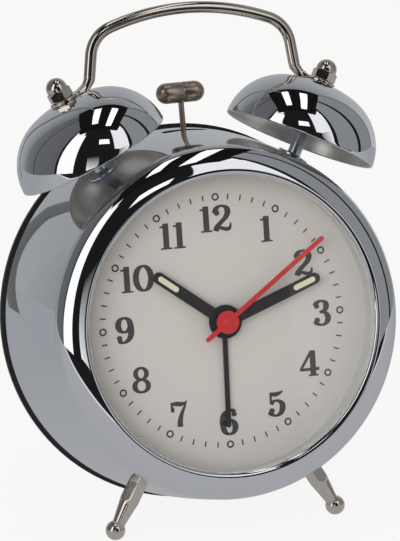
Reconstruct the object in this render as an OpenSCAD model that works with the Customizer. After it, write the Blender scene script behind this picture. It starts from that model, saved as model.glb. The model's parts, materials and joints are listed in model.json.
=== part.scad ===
// Twin bell alarm clock, a battery clock with a struck pair of bells.
// Each sub-part is drawn in the clock's own frame: the dial's face is the plane z = 0,
// x runs to the right and y up the dial, and z comes out of the dial towards the reader.
// standing() then leans the clock back and sets it on the table, with +Z up and the reader at -Y.
// All sizes are in millimetres and degrees.

/* [Case] */
// Radius of the case wall at its front edge
case_front_r = 55.3; // [53:0.1:57]
// Radius of the case wall at its rear edge
case_rear_r = 60; // [58:0.1:63]
// How far the front edge of the wall stands ahead of the dial
case_front = 5.5; // [4.5:0.5:7]
// How far the rear edge of the wall lies behind the dial
case_rear = 41.5; // [40:0.5:46]
// How far the wall swells beyond a straight taper
case_bulge = 1; // [0.5:0.1:1.6]
// Thickness of the case wall
case_wall = 0.8; // [0.6:0.1:1.2]
// Width of the slot that the hammer swings in
slot_w = 4; // [3:0.1:5]
// Clearance between the hammer's stem and each end of its slot
slot_clear = 1.2; // [0.8:0.1:2]

/* [Bezel and glass] */
// Radius of the bezel's outer rounding
roll_r = 6.6; // [6:0.1:7]
// Height of the bezel's crest above the front edge of the case
crest_rise = 7.4; // [7.2:0.1:7.8]
// Radius of the bezel's inner rounding, from its crest to the opening that the dial shows through
fold_r = 2.6; // [2.2:0.1:2.8]
// Thickness of the bezel's sheet
bezel_t = 0.8; // [0.6:0.1:1]
// Height of the glass's front face above the front edge of the case
glass_rise = 3.4; // [2.8:0.1:3.6]
// Thickness of the glass
glass_t = 1.5; // [1:0.1:2]
// Wall of the ring that keeps the glass off the dial
spacer_wall = 1.6; // [1.2:0.1:1.8]
// Thickness of the dial plate
dial_t = 0.5; // [0.4:0.1:1]
// Slip clearance of the stack in the bezel
stack_clear = 0.1; // [0.05:0.05:0.2]

/* [Feet] */
// Angle of each foot from straight down
foot_angle = 30; // [26:0.5:34]
// How far the feet stand behind the dial
foot_back = 8.5; // [8.5:0.1:14]
// Distance of the ball's centre from the clock's axis
foot_reach = 73.1; // [71:0.1:76]
// Radius of the ball that touches the table
foot_ball_r = 3.1; // [2.6:0.1:3.5]
// Width across the flats of the foot's hexagon
foot_hex = 5.9; // [5:0.1:6.4]
// Length of the foot's hexagon below the case
foot_hex_len = 6.6; // [5:0.1:8]
// Radius of the foot's neck above the ball
foot_neck_r = 2; // [1.6:0.1:2.3]
// Radius of the foot's taper below the hexagon
foot_taper_r = 2.9; // [2.5:0.1:3.1]
// Height of the chamfer at the lower end of the foot's hexagon
foot_chamfer = 1.2; // [0.6:0.1:1.6]
// Turn of the foot's hexagon about the foot's own axis
foot_turn = 45; // [0:1:59]

/* [Bells] */
// Distance of each bell's rim centre from the middle of the clock
bell_x = 33.9; // [33:0.1:35]
// Height of each bell's rim centre above the dial's centre
bell_y = 53.7; // [53:0.1:55]
// How far the bells and the handle lie behind the dial
bell_back = 14.5; // [13:0.1:16]
// Lean of each bell from the vertical
bell_tilt = 26; // [22:0.5:30]
// Radius of a bell's rim
bell_r = 24.8; // [24:0.1:25.5]
// Height of a bell's dome above its rim, before the top is flattened
bell_dome = 19.5; // [19.3:0.1:20.5]
// Radius of the bell's side curve
bell_side_r = 18.6; // [17:0.1:18.8]
// Radius of the flat top of a bell
bell_flat_r = 5; // [4.5:0.1:6]
// Thickness of the bell's wall
bell_wall = 0.9; // [0.7:0.1:1.2]
// Radius of the post that carries a bell
post_r = 2.15; // [2:0.05:2.6]
// Radius of the threaded ends of the post and foot
stud_r = 1.6; // [1.4:0.05:1.8]
// Radius of the flange that seats a post on the case
flange_r = 5; // [4.5:0.1:5.6]
// Thickness of the flange
flange_t = 0.7; // [0.5:0.1:1.2]
// Clearance round a stud in a drilled sheet
stud_clear = 0.15; // [0.1:0.05:0.3]

/* [Handle and cap nuts] */
// Radius of the handle's rod
rod_r = 1.9; // [1.7:0.05:2.1]
// Height of the middle of the handle's arch above the dial's centre, along the rod's centre line
handle_top = 97.8; // [95:0.1:102]
// Lean of the handle's legs towards the middle
handle_lean = 7.6; // [5:0.2:12]
// Radius of the handle's corner bends
handle_bend_r = 10.2; // [8:0.1:13]
// Radius of the gentle arch along the handle's top
handle_arch_r = 75.3; // [70:0.1:100]
// Distance from a cap nut to the bend at the foot of the handle
tab_len = 10.5; // [10:0.1:11.5]
// Thickness of the flattened ends of the handle
tab_t = 1.1; // [0.9:0.1:1.4]
// Half width of the flattened ends of the handle
tab_r = 4.4; // [4:0.1:4.8]
// Width across the flats of the cap nuts
cap_hex = 7; // [6.8:0.1:7.4]
// Height of the hexagon of a cap nut
cap_hex_h = 3.2; // [2.6:0.1:4]
// Radius of the dome of a cap nut
cap_dome_r = 3.3; // [2.8:0.1:3.4]

/* [Hammer] */
// Height of the hammer's pivot above the dial's centre
pivot_y = 46; // [44:0.5:48]
// How far the hammer swings behind the dial
hammer_back = 27.5; // [26:0.1:29]
// Distance from the pivot to the middle of the hammer's head
hammer_reach = 25.1; // [24.5:0.1:27]
// Lean of the hammer to the left at rest
hammer_lean = 1.5; // [0:0.1:2.5]
// Swing of the hammer each way from upright, just short of the bells
hammer_swing = 20.9; // [14:0.1:20.9]
// Length of the hammer's head
head_len = 15.9; // [14:0.1:17]
// Radius of the hammer's head
head_r = 3.3; // [2.8:0.1:3.6]
// Radius of the hammer's stem
stem_r = 0.9; // [0.7:0.05:1.1]
// Radius of the hammer's pivot pin
pivot_r = 1; // [0.8:0.05:1.2]

/* [Dial hands] */
// Direction of the hour hand, clockwise from twelve
hour_at = 306.8; // [0:0.1:360]
// Direction of the minute hand
minute_at = 69.5; // [0:0.1:360]
// Direction of the second hand
second_at = 54; // [0:0.1:360]
// Direction of the alarm hand
alarm_at = 181; // [0:0.1:360]
// Length of the hour hand
hour_len = 27.5; // [24:0.1:30]
// Length of the minute hand
minute_len = 33.4; // [31:0.1:38]
// Length of the second hand
second_len = 40.7; // [36:0.1:43]
// Length of the alarm hand
alarm_len = 33.3; // [28:0.1:36]
// Width of the hour and minute hands
hand_w = 3.6; // [3:0.1:4.2]
// Thickness of each hand
hand_t = 0.6; // [0.4:0.1:0.8]
// Clear height between one hand and the next
hand_gap = 0.7; // [0.5:0.1:0.9]

/* [Movement] */
// Half width of the movement's housing
housing_half = 26.5; // [26:0.1:28]
// Wall of the movement's housing
housing_wall = 1.5; // [1.2:0.1:1.5]
// Thickness of each wheel
wheel_t = 0.8; // [0.6:0.1:1]
// Distance from the centre to the setting shafts
setting_c = 13.5; // [13.2:0.1:14]
// Distance from the centre to the third wheel
third_c = 12.5; // [12:0.1:12.8]
// Distance from the centre to the fifth wheel
fifth_c = 12.4; // [12.2:0.1:12.8]
// Distance from the fifth wheel to the rotor
rotor_c = 11; // [10.6:0.1:11.2]
// Radius of the two setting shafts
shaft_r = 1; // [0.8:0.05:1.2]
// Running clearance between a shaft and its hole
run_clear = 0.05; // [0.03:0.01:0.08]

/* [Back] */
// Thickness of the back cover
cover_t = 1.8; // [1.6:0.1:2.4]
// How far the rim of the back cover stands out beyond the case
rim_proud = 0.8; // [0.4:0.1:1.2]
// Radius of the two setting knobs
knob_r = 7; // [5:0.1:9]
// Height of the two setting knobs
knob_h = 5.4; // [4:0.1:7]
// Gap between a knob and the back cover
knob_gap = 0.6; // [0.4:0.1:1]
// Length of the battery cell
cell_len = 50.5; // [49.5:0.1:50.5]
// Radius of the battery cell
cell_r = 7.2; // [6.8:0.05:7.25]
// Height of the battery cell below the dial's centre
cell_y = 30; // [29:0.1:31]
// Travel of the alarm switch
switch_travel = 4; // [2:0.1:5]

/* [Hidden] */

$fn = 72;
eps = 0.01;
far = 200;
press = 0.02;

// A point list along an arc about c, from angle a0 to a1 in n steps.
function arc(c, r, a0, a1, n) =
    [for (i = [0 : n]) let (a = a0 + (a1 - a0) * i / n) [c[0] + r * cos(a), c[1] + r * sin(a)]];

// The case wall in section is one arc through its front and rear edges.
wall_steps = 16;
wall_mid = [(case_front_r + case_rear_r) / 2, (case_front - case_rear) / 2];
wall_half = norm([case_rear_r - case_front_r, case_front + case_rear]) / 2;
wall_arc_r = (wall_half * wall_half + case_bulge * case_bulge) / (2 * case_bulge);
wall_out = [case_front + case_rear, case_rear_r - case_front_r] / (2 * wall_half);
wall_c = wall_mid - wall_out * (wall_arc_r - case_bulge);
function wall_r(z, inset = 0) =
    wall_c[0] + sqrt((wall_arc_r - inset) * (wall_arc_r - inset) - (z - wall_c[1]) * (z - wall_c[1]));

// Where the clock touches the table: the rear edge of the cover and the two balls.
cover_r = case_rear_r + rim_proud;
rest_back = case_rear + cover_t;
foot_drop = foot_reach * cos(foot_angle);
rest_a = cover_r - foot_drop;
rest_b = rest_back - foot_back;
lean = asin(foot_ball_r / norm([rest_a, rest_b])) - atan2(rest_a, rest_b);
dial_height = cover_r * cos(lean) + rest_back * sin(lean);

// The stack in the bezel, front to rear.
skirt_clear = 0.1;
crest_z = case_front + crest_rise;
roll_mid_r = case_front_r - roll_r;
roll_z = crest_z - roll_r;
fold_z = crest_z - fold_r;
aperture_r = roll_mid_r - fold_r;
skirt_r = case_front_r - case_wall - skirt_clear;
stack_r = skirt_r - bezel_t - stack_clear;
glass_front = case_front + glass_rise;
glass_back = glass_front - glass_t;
frame_t = 2.5;
frame_back = -dial_t - frame_t;
crimp_w = 2;

// Bell section: a side arc and a crown arc that meet smoothly.
bell_side_x = bell_r - bell_side_r;
bell_crown_r = (bell_side_r * bell_side_r - bell_side_x * bell_side_x - bell_dome * bell_dome)
    / (2 * (bell_side_r - bell_dome));
bell_join = atan2(bell_crown_r - bell_dome, bell_side_x);
bell_flat_a = acos(bell_flat_r / bell_crown_r);
crown_c = [0, bell_dome - bell_crown_r];
bell_h = crown_c[1] + bell_crown_r * sin(bell_flat_a);
bell_steps = 14;

// Handle path: a leg, a corner bend and a gentle arch, tangent to one another.
function unit(a) = [cos(a), sin(a)];
seat = [bell_x, bell_y] + bell_h * unit(90 - bell_tilt);
leg_lift = 0.15;
leg_rise = rod_r + leg_lift;
leg_foot = seat - tab_len * unit(-bell_tilt) + leg_rise * unit(90 - bell_tilt);
leg_dir = unit(90 + handle_lean);
leg_in = unit(180 + handle_lean);
arch_c = [0, handle_top - handle_arch_r];
bend_from = leg_foot + handle_bend_r * leg_in - arch_c;
bend_b = bend_from * leg_dir;
bend_in_r = handle_arch_r - handle_bend_r;
leg_len = -bend_b + sqrt(bend_b * bend_b - bend_from * bend_from + bend_in_r * bend_in_r);
bend_c = leg_foot + leg_len * leg_dir + handle_bend_r * leg_in;
arch_a = atan2(bend_c[1] - arch_c[1], bend_c[0]);
// A bend is drawn a hair fuller and runs this far into its neighbours.
bend_full = 0.02;
bend_lap = 1.5;

// Movement layers, as depths behind the dial.
plate_front = -frame_back;
plate_t = 2;
layer = 1.3;
face_slack = 0.5;
thin_slack = 0.1;
wide_slack = 0.3;
rotor_drop = 2.2;
rotor_slack = 0.8;
front_layer = plate_front + plate_t + face_slack;
alarm_z = -(front_layer + wheel_t);
hour_z = alarm_z - layer;
setting_z = hour_z - layer - thin_slack;
centre_z = setting_z - layer - wide_slack;
third_z = centre_z - layer - thin_slack;
second_z = third_z - layer - wide_slack;
fifth_z = second_z - layer - thin_slack;
rotor_z = fifth_z - rotor_drop;
plate_back = -rotor_z + rotor_slack;
housing_back = plate_back + plate_t;

// Wheels and pinions of the train.
rotor_teeth = 6;
fifth_teeth = 36;
fifth_pinion = 6;
second_teeth = 30;
second_pinion = 6;
third_teeth = 45;
third_pinion = 6;
centre_teeth = 48;
cannon_teeth = 8;
setting_teeth = 24;
setting_pinion = 6;
hour_teeth = 24;
alarm_pinion = 8;
alarm_teeth = 32;

third_dir = 90;
fifth_dir = -75;
rotor_dir = -20;
setting_at = [-setting_c, 0];
alarm_shaft_at = [setting_c, 0];
third_at = third_c * unit(third_dir);
fifth_at = fifth_c * unit(fifth_dir);
rotor_at = fifth_at + rotor_c * unit(rotor_dir);

// Nested shafts at the centre of the dial.
second_r = 0.6;
tube_wall = 0.5;
cannon_in = second_r + run_clear;
cannon_out = cannon_in + tube_wall;
hour_in = cannon_out + run_clear;
hour_out = hour_in + tube_wall;
alarm_in = hour_out + run_clear;
alarm_out = alarm_in + tube_wall;
dial_clear = 0.6;
dial_hole_r = alarm_out + dial_clear;
pivot_thin_r = 0.5;

// Heights of the four hands ahead of the dial.
alarm_hand_z = 1;
hour_hand_z = alarm_hand_z + hand_t + hand_gap;
minute_hand_z = hour_hand_z + hand_t + hand_gap;
second_hand_z = minute_hand_z + hand_t + hand_gap;

// Pillars that tie the frame to the back cover.
pillar_r = 4;
pillar_reach = 46;
pillar_at = [30, 150, 200, 340];
screw_r = 1.3;
screw_depth = 9;

// Battery bay in the back cover.
bay_wall = 1.2;
bay_end = 3.4;
bay_half = cell_len / 2 + bay_end;
bay_clear = 0.4;
cell_over = 1;
cell_under = 0.3;
bay_high = cell_r + bay_clear;
cell_z = -(case_rear - cell_r - cell_over);
bay_floor = cell_z + cell_r + cell_under;
door_lip = 1.4;
door_t = 0.9;
door_clear = 0.25;

// The hammer and the coil that drives it.
head_seat = 1.6;
hub_r = 3.2;
hub_len = 10;
hub_clear = 0.2;
tail_len = 12;
magnet = [6, 5, 4];
pole_gap = 1;
pole_x = tail_len * sin(hammer_swing) + magnet[0] / 2 * cos(hammer_swing) + pole_gap;
core_t = 3;
core_z = 4;
core_drop = 12;
slot_half = (wall_r(-hammer_back) - pivot_y) * tan(hammer_swing) + stem_r / cos(hammer_swing) + slot_clear;
switch_at = [0, 23];

// Set a sub-part on the table.
module standing() {
    translate([0, 0, dial_height]) rotate([90 - lean, 0, 0]) children();
}

// A turned part from its section [radius, height].
module turned(section) {
    rotate_extrude($fn = 96) polygon(section);
}

// A ring of round section between two heights.
module tube(r_out, r_in, z0, z1) {
    difference() {
        translate([0, 0, z0]) cylinder(r = r_out, h = z1 - z0);
        translate([0, 0, z0 - 1]) cylinder(r = r_in, h = z1 - z0 + 2);
    }
}

// A plain round bar between two heights.
module rod(r, z0, z1) {
    translate([0, 0, z0]) cylinder(r = r, h = z1 - z0);
}

// A hexagon bar between two heights.
module hex(flats, z0, z1) {
    translate([0, 0, z0]) cylinder(r = flats / sqrt(3), h = z1 - z0, $fn = 6);
}

// A flat bar with round ends from the origin up the y axis.
module bar(w, y0, y1, z0, t) {
    translate([0, 0, z0]) linear_extrude(t) union() {
        translate([-w / 2, y0]) square([w, y1 - y0]);
        translate([0, y0]) circle(d = w);
        translate([0, y1]) circle(d = w);
    }
}

// A gear outline: straight flanked teeth with backlash, one tooth at the angle given.
tip_part = 0.09;
root_part = 0.27;
tip_high = 0.75;
root_low = 1.1;
tooth_corners = [[-root_part, -root_low], [-tip_part, tip_high], [tip_part, tip_high],
    [root_part, -root_low]];
module gear(teeth, pitch_r, tooth_at, z0, t, bore_r) {
    m = 2 * pitch_r / teeth;
    outline = [for (i = [0 : teeth - 1]) for (c = tooth_corners)
        (pitch_r + c[1] * m) * unit(tooth_at + (i + c[0]) * 360 / teeth)];
    translate([0, 0, z0]) linear_extrude(t) difference() {
        polygon(outline);
        if (bore_r > 0) circle(r = bore_r);
    }
}

// Pitch radius of a gear of n teeth that meshes with one of k teeth at distance c.
function pitch(n, k, c) = c * n / (n + k);
// Angle of a tooth that leaves a gap facing the mate, which lies in direction d.
function gap_at(n, d) = d + 180 / n;

// The space inside the case wall, or the whole case with no inset.
module case_form(inset = 0, front = 0, rear = 0) {
    z0 = case_front + front;
    z1 = -case_rear - rear;
    turned(concat(
        [[0, z1]],
        [for (i = [0 : wall_steps]) let (z = z1 + (z0 - z1) * i / wall_steps) [wall_r(z, inset), z]],
        [[0, z0]]));
}

// Place children on a bell's axis: the rim is the plane z = 0 and z runs out of the crown.
module at_bell(side) {
    translate([side * bell_x, bell_y, -bell_back])
        rotate([0, 0, -side * bell_tilt]) rotate([-90, 0, 0]) children();
}

// Place children on a foot's axis: z runs out from the clock's centre.
module at_foot(side) {
    translate([0, 0, -foot_back]) rotate([0, 0, side * foot_angle]) rotate([90, 0, 0]) children();
}

module case_shell() {
    color("silver") standing() difference() {
        case_form();
        case_form(case_wall, 1, 1);
        translate([-slot_half, pivot_y, -hammer_back - slot_w / 2]) cube([2 * slot_half, far, slot_w]);
        for (side = [-1, 1]) {
            at_bell(side) rod(stud_r + stud_clear, -bell_r, 0);
            at_foot(side) rod(stud_r + stud_clear, foot_reach - bell_r, foot_reach);
        }
    }
}

roll_steps = 14;
fold_steps = 8;
module bezel() {
    roll_a = acos((skirt_r - bezel_t - roll_mid_r) / (roll_r - bezel_t));
    color("gainsboro") standing() turned(concat(
        [[aperture_r, glass_front]],
        arc([roll_mid_r, fold_z], fold_r, 180, 90, fold_steps),
        arc([roll_mid_r, roll_z], roll_r, 90 - 90 / roll_steps, 0, roll_steps - 1),
        [[case_front_r, case_front], [skirt_r, case_front]],
        [[skirt_r, frame_back - bezel_t], [skirt_r - bezel_t - crimp_w, frame_back - bezel_t]],
        [[skirt_r - bezel_t - crimp_w, frame_back], [skirt_r - bezel_t, frame_back]],
        arc([roll_mid_r, roll_z], roll_r - bezel_t, roll_a, 90, roll_steps),
        arc([roll_mid_r, fold_z], fold_r - bezel_t, 90 + 90 / fold_steps, 180, fold_steps - 1),
        [[aperture_r + bezel_t, glass_front]]));
}

module glass() {
    color("azure", 0.4) standing() rod(stack_r, glass_back, glass_front);
}

module spacer_ring() {
    color("lightgray") standing() tube(stack_r, stack_r - spacer_wall, 0, glass_back);
}

module dial() {
    color("linen") standing() tube(stack_r, dial_hole_r, -dial_t, 0);
}

// The plastic frame behind the dial, with pillars for the cover and a post for the hammer.
module inner_frame() {
    hub_front = -hammer_back + hub_len / 2 + hub_clear;
    color("dimgray") standing() difference() {
        union() {
            rod(stack_r, frame_back, -dial_t);
            for (a = pillar_at)
                translate(pillar_reach * unit(a)) rod(pillar_r, -case_rear, frame_back + eps);
            translate([0, pivot_y]) rod(hub_r, hub_front, frame_back + eps);
        }
        rod(dial_hole_r, frame_back - 1, 1);
        for (a = pillar_at)
            translate(pillar_reach * unit(a)) rod(screw_r, -case_rear - 1, -case_rear + screw_depth);
        translate([0, pivot_y]) rod(pivot_r + press, hub_front - 1, hub_front + screw_depth);
    }
}

// The moulded back: a plate with a rim, the battery bay, bosses and the switch's slot.
plug_clear = 0.4;
plug_wall = 1.6;
plug_depth = 3;
shaft_clear = 0.3;
button_w = 3;
button_h = 2.8;
button_clear = 0.2;
button_out = 2;
module back_cover() {
    plug_r = wall_r(-case_rear, case_wall) - plug_clear;
    hub_rear = -hammer_back - hub_len / 2 - hub_clear;
    switch_slot = [switch_travel + button_w, button_h] + 2 * button_clear * [1, 1];
    color("#1c1c1c") standing() difference() {
        union() {
            rod(cover_r, -rest_back, -case_rear);
            tube(plug_r, plug_r - plug_wall, -case_rear - eps, -case_rear + plug_depth);
            translate([-bay_half - bay_wall, -cell_y - bay_high - bay_wall, -case_rear - eps])
                cube([2 * (bay_half + bay_wall), 2 * (bay_high + bay_wall),
                    case_rear + bay_floor + bay_wall + eps]);
            translate([0, pivot_y]) rod(hub_r, -case_rear - eps, hub_rear);
        }
        translate([-bay_half, -cell_y - bay_high, -case_rear])
            cube([2 * bay_half, 2 * bay_high, case_rear + bay_floor]);
        translate([-bay_half + door_lip, -cell_y - bay_high + door_lip, -rest_back - 1])
            cube([2 * (bay_half - door_lip), 2 * (bay_high - door_lip), cover_t + 2]);
        translate([-bay_half, -cell_y - bay_high, -rest_back - 1])
            cube([2 * bay_half, 2 * bay_high, door_t + 1]);
        translate([0, pivot_y]) rod(pivot_r + press, hub_rear - screw_depth, hub_rear + 1);
        for (a = pillar_at)
            translate(pillar_reach * unit(a)) rod(screw_r + stud_clear, -rest_back - 1, -case_rear + 1);
        for (p = [setting_at, alarm_shaft_at])
            translate(p) rod(shaft_r + shaft_clear, -rest_back - 1, -case_rear + 1);
        translate([switch_at[0] - switch_slot[0] / 2, switch_at[1] - switch_slot[1] / 2, -rest_back - 1])
            cube([switch_slot[0], switch_slot[1], cover_t + 2]);
    }
}

screw_head_r = 2.6;
screw_head_h = 1.5;
screw_end = 1;
module cover_screws() {
    color("slategray") standing() for (a = pillar_at) translate(pillar_reach * unit(a)) {
        rod(screw_head_r, -rest_back - screw_head_h, -rest_back);
        rod(screw_r, -rest_back - eps, -case_rear + screw_depth - screw_end);
    }
}

// A foot: a hexagon seated on the case, a taper and a ball, with a threaded end inside.
sink = 2;
stud_len = 7;
module foot(side) {
    case_r = wall_r(-foot_back);
    hex_end = case_r + foot_hex_len;
    corner_r = foot_hex / sqrt(3) + eps;
    union() {
        difference() {
            at_foot(side) union() {
                intersection() {
                    rotate([0, 0, foot_turn]) hex(foot_hex, case_r - sink, hex_end);
                    turned([[0, case_r - sink], [corner_r, case_r - sink], [corner_r, hex_end - foot_chamfer],
                        [foot_taper_r, hex_end], [0, hex_end]]);
                }
                translate([0, 0, hex_end - eps])
                    cylinder(r1 = foot_taper_r, r2 = foot_neck_r, h = foot_reach - hex_end);
                translate([0, 0, foot_reach]) sphere(r = foot_ball_r);
            }
            case_form();
        }
        at_foot(side) rod(stud_r, case_r - stud_len, case_r + sink);
    }
}

module foot_left() {
    color("rosybrown") standing() foot(-1);
}

module foot_right() {
    color("rosybrown") standing() foot(1);
}

// Nuts inside the case: each has a face that follows the wall.
nut_hex = 6.6;
nut_h = 3.2;
module foot_nuts() {
    nut_top = wall_r(-foot_back) - case_wall;
    color("slategray") standing() for (side = [-1, 1]) intersection() {
        at_foot(side) difference() {
            hex(nut_hex, nut_top - nut_h, nut_top + sink);
            rod(stud_r + press, nut_top - stud_len, nut_top + stud_len);
        }
        case_form(case_wall);
    }
}

// A bell's section, with its wall measured square to the curve.
module bell() {
    side_c = [bell_side_x, 0];
    inner_flat = bell_h - bell_wall;
    inner_flat_a = asin((inner_flat - crown_c[1]) / (bell_crown_r - bell_wall));
    turned(concat(
        [[stud_r + stud_clear, bell_h]],
        arc(crown_c, bell_crown_r, bell_flat_a, bell_join, bell_steps),
        arc(side_c, bell_side_r, bell_join * (1 - 1 / bell_steps), 0, bell_steps - 1),
        arc(side_c, bell_side_r - bell_wall, 0, bell_join * (1 - 1 / bell_steps), bell_steps - 1),
        arc(crown_c, bell_crown_r - bell_wall, bell_join, inner_flat_a, bell_steps),
        [[stud_r + stud_clear, inner_flat]]));
}

module bell_left() {
    color("silver") standing() at_bell(-1) bell();
}

module bell_right() {
    color("silver") standing() at_bell(1) bell();
}

// A bell post: a thin flange on the case, a rod under the bell's crown and two threaded ends.
post_base = norm([bell_x, bell_y]) - wall_r(-bell_back);
module bell_post(side) {
    difference() {
        union() {
            intersection() {
                at_bell(side) rod(flange_r, -post_base - stud_len, 0);
                case_form(-flange_t);
            }
            at_bell(side) rod(post_r, -post_base - sink, bell_h - bell_wall);
        }
        case_form();
    }
    at_bell(side) rod(stud_r, -post_base - stud_len, 0);
    at_bell(side) rod(stud_r, bell_h - bell_wall - eps, bell_h + tab_t + cap_hex_h);
}

module bell_post_left() {
    color("lightsteelblue") standing() bell_post(-1);
}

module bell_post_right() {
    color("lightsteelblue") standing() bell_post(1);
}

module post_nuts() {
    color("slategray") standing() for (side = [-1, 1]) intersection() {
        at_bell(side) difference() {
            hex(nut_hex, -post_base - case_wall - nut_h, -post_base + sink);
            rod(stud_r + press, -post_base - stud_len - 1, 0);
        }
        case_form(case_wall);
    }
}

// The handle: a bent rod with its ends flattened under the cap nuts.
// The strip beside an eye has a half width of this many rod radii.
tab_neck = 1.3;
module handle() {
    color("darkkhaki") standing() difference() {
        translate([0, 0, -bell_back]) union() {
            translate(arch_c) rotate([0, 0, arch_a])
                rotate_extrude(angle = 180 - 2 * arch_a)
                translate([handle_arch_r, 0]) circle(r = rod_r, $fn = 32);
            for (side = [0, 1]) mirror([side, 0, 0]) {
                translate(bend_c) rotate([0, 0, handle_lean - bend_lap])
                    rotate_extrude(angle = arch_a - handle_lean + 2 * bend_lap)
                    translate([handle_bend_r, 0]) circle(r = rod_r + bend_full, $fn = 32);
                translate(leg_foot) rotate([0, 0, handle_lean]) rotate([-90, 0, 0])
                    cylinder(r = rod_r, h = leg_len);
                translate(leg_foot) sphere(r = rod_r);
                translate(seat) rotate([0, 0, -bell_tilt]) rotate([-90, 0, 0]) linear_extrude(tab_t) union() {
                    circle(r = tab_r);
                    translate([-tab_len, -tab_neck * rod_r]) square([tab_len, 2 * tab_neck * rod_r]);
                    translate([-tab_len, 0]) circle(r = tab_neck * rod_r);
                }
            }
        }
        for (side = [-1, 1]) at_bell(side) rod(stud_r + stud_clear, bell_h - 1, bell_h + tab_t + 1);
    }
}

cap_collar = 0.6;
cap_bore = 0.2;
module cap_nuts() {
    foot_z = bell_h + tab_t;
    dome_z = foot_z + cap_hex_h + cap_collar;
    color("darkkhaki") standing() for (side = [-1, 1]) at_bell(side) difference() {
        union() {
            hex(cap_hex, foot_z, foot_z + cap_hex_h);
            rod(cap_dome_r, foot_z + cap_hex_h - eps, dome_z);
            translate([0, 0, dome_z]) sphere(r = cap_dome_r);
        }
        rod(stud_r + press, foot_z - 1, foot_z + cap_hex_h + cap_bore);
    }
}

// Round holes in a movement plate for the shafts that turn in it.
module shaft_holes(centre_r) {
    rod(centre_r, -far, far);
    for (p = [third_at, fifth_at, rotor_at]) translate(p) rod(pivot_thin_r + run_clear, -far, far);
    for (p = [setting_at, alarm_shaft_at]) translate(p) rod(shaft_r + run_clear, -far, far);
}

front_wall_h = 6;
module movement_front() {
    inner = housing_half - housing_wall;
    wall_end = -plate_front - plate_t - front_wall_h;
    color("gray") standing() difference() {
        translate([-housing_half, -housing_half, wall_end])
            cube([2 * housing_half, 2 * housing_half, -plate_front - wall_end]);
        translate([-inner, -inner, wall_end - 1])
            cube([2 * inner, 2 * inner, -plate_front - plate_t - wall_end + 1]);
        shaft_holes(alarm_out + run_clear);
    }
}

module movement_rear() {
    inner = housing_half - housing_wall;
    wall_end = -plate_front - plate_t - front_wall_h;
    core_y = pivot_y - tail_len - core_drop;
    core_back = -hammer_back + core_z / 2;
    color("lightgray") standing() difference() {
        union() {
            difference() {
                translate([-housing_half, -housing_half, -housing_back])
                    cube([2 * housing_half, 2 * housing_half, wall_end + housing_back]);
                translate([-inner, -inner, -plate_back])
                    cube([2 * inner, 2 * inner, wall_end + plate_back + 1]);
            }
            for (side = [-1, 1]) translate([side * (pole_x + core_t / 2), core_y])
                rod(core_t / 2, core_back, -housing_back + eps);
        }
        shaft_holes(second_r + run_clear);
    }
}

board_w = 11;
board_l = 22;
board_t = 1;
chip = 5;
chip_at = [3, 9];
crystal_r = 1;
crystal_len = 6;
crystal_at = [7.5, 1];
module circuit_board() {
    corner = [-housing_half + housing_wall, -housing_half + housing_wall, -plate_back];
    color("darkgreen") standing() translate(corner) union() {
        cube([board_w, board_l, board_t]);
        translate([chip_at[0], chip_at[1], board_t - eps]) cube([chip, chip, board_t]);
        translate([crystal_at[0], crystal_at[1], board_t + crystal_r - eps]) rotate([-90, 0, 0])
            rod(crystal_r, 0, crystal_len);
        translate([crystal_at[0] - crystal_r, crystal_at[1], board_t - eps])
            cube([2 * crystal_r, crystal_len, crystal_r]);
    }
}

// The coil lies along the housing's right wall, above the stator's plate.
coil_r = 2.2;
cheek_r = 3.2;
cheek_t = 1;
coil_gap = 0.4;
core_r = 0.88;
core_clear = 0.02;
yoke_w = 2.2;
yoke_gap = 0.2;
yoke_rise = 0.2;
yoke_clear = 0.6;
coil_x = housing_half - housing_wall - coil_gap - cheek_r;
coil_from = -(housing_half - housing_wall - yoke_clear - yoke_w - yoke_gap);
coil_to = -6;
core_height = rotor_z + yoke_rise + wheel_t + coil_gap + cheek_r;
module drive_coil() {
    bore = core_r + core_clear;
    color("chocolate") standing() translate([coil_x, 0, core_height]) rotate([-90, 0, 0]) union() {
        tube(coil_r, bore, coil_from + cheek_t, coil_to - cheek_t);
        tube(cheek_r, bore, coil_from, coil_from + cheek_t + eps);
        tube(cheek_r, bore, coil_to - cheek_t - eps, coil_to);
    }
}

// The stator: a soft iron plate from the coil's core to a hole round the rotor.
stator_bore = 3.3;
horn_over = 0.4;
core_in = 0.5;
module stator() {
    yoke_z = rotor_z + yoke_rise;
    yokes = [coil_from - yoke_gap - yoke_w, coil_to + yoke_gap];
    horn_h = core_height + core_r + horn_over - yoke_z;
    color("slategray") standing() union() {
        translate([0, 0, yoke_z]) linear_extrude(wheel_t) difference() {
            union() {
                translate(rotor_at) circle(r = stator_bore + yoke_w);
                for (y = yokes) translate([rotor_at[0], y]) square([coil_x + yoke_w - rotor_at[0], yoke_w]);
                translate([rotor_at[0] - yoke_w, yokes[0]]) square([2 * yoke_w, yokes[1] + yoke_w - yokes[0]]);
            }
            translate(rotor_at) circle(r = stator_bore);
        }
        for (y = yokes) translate([coil_x - yoke_w, y, yoke_z + eps]) cube([2 * yoke_w, yoke_w, horn_h]);
        translate([coil_x, 0, core_height]) rotate([-90, 0, 0])
            rod(core_r, coil_from - core_in, coil_to + core_in);
    }
}

// A shaft of the train with its two thin ends in the plates.
module pivot_shaft(z0, z1) {
    rod(pivot_thin_r, z0, z1);
}

end_shake = 0.4;
plates = [-housing_back + end_shake, -plate_front - end_shake];
// A pinion is this much taller than its mate on each side.
over = 0.2;
magnet_r = 2.6;
magnet_h = 1.4;

module rotor() {
    color("firebrick") standing() translate(rotor_at) union() {
        pivot_shaft(plates[0], plates[1]);
        rod(magnet_r, rotor_z, rotor_z + magnet_h);
        gear(rotor_teeth, pitch(rotor_teeth, fifth_teeth, rotor_c), rotor_dir + 180,
            fifth_z - over, wheel_t + 2 * over, 0);
    }
}

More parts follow.
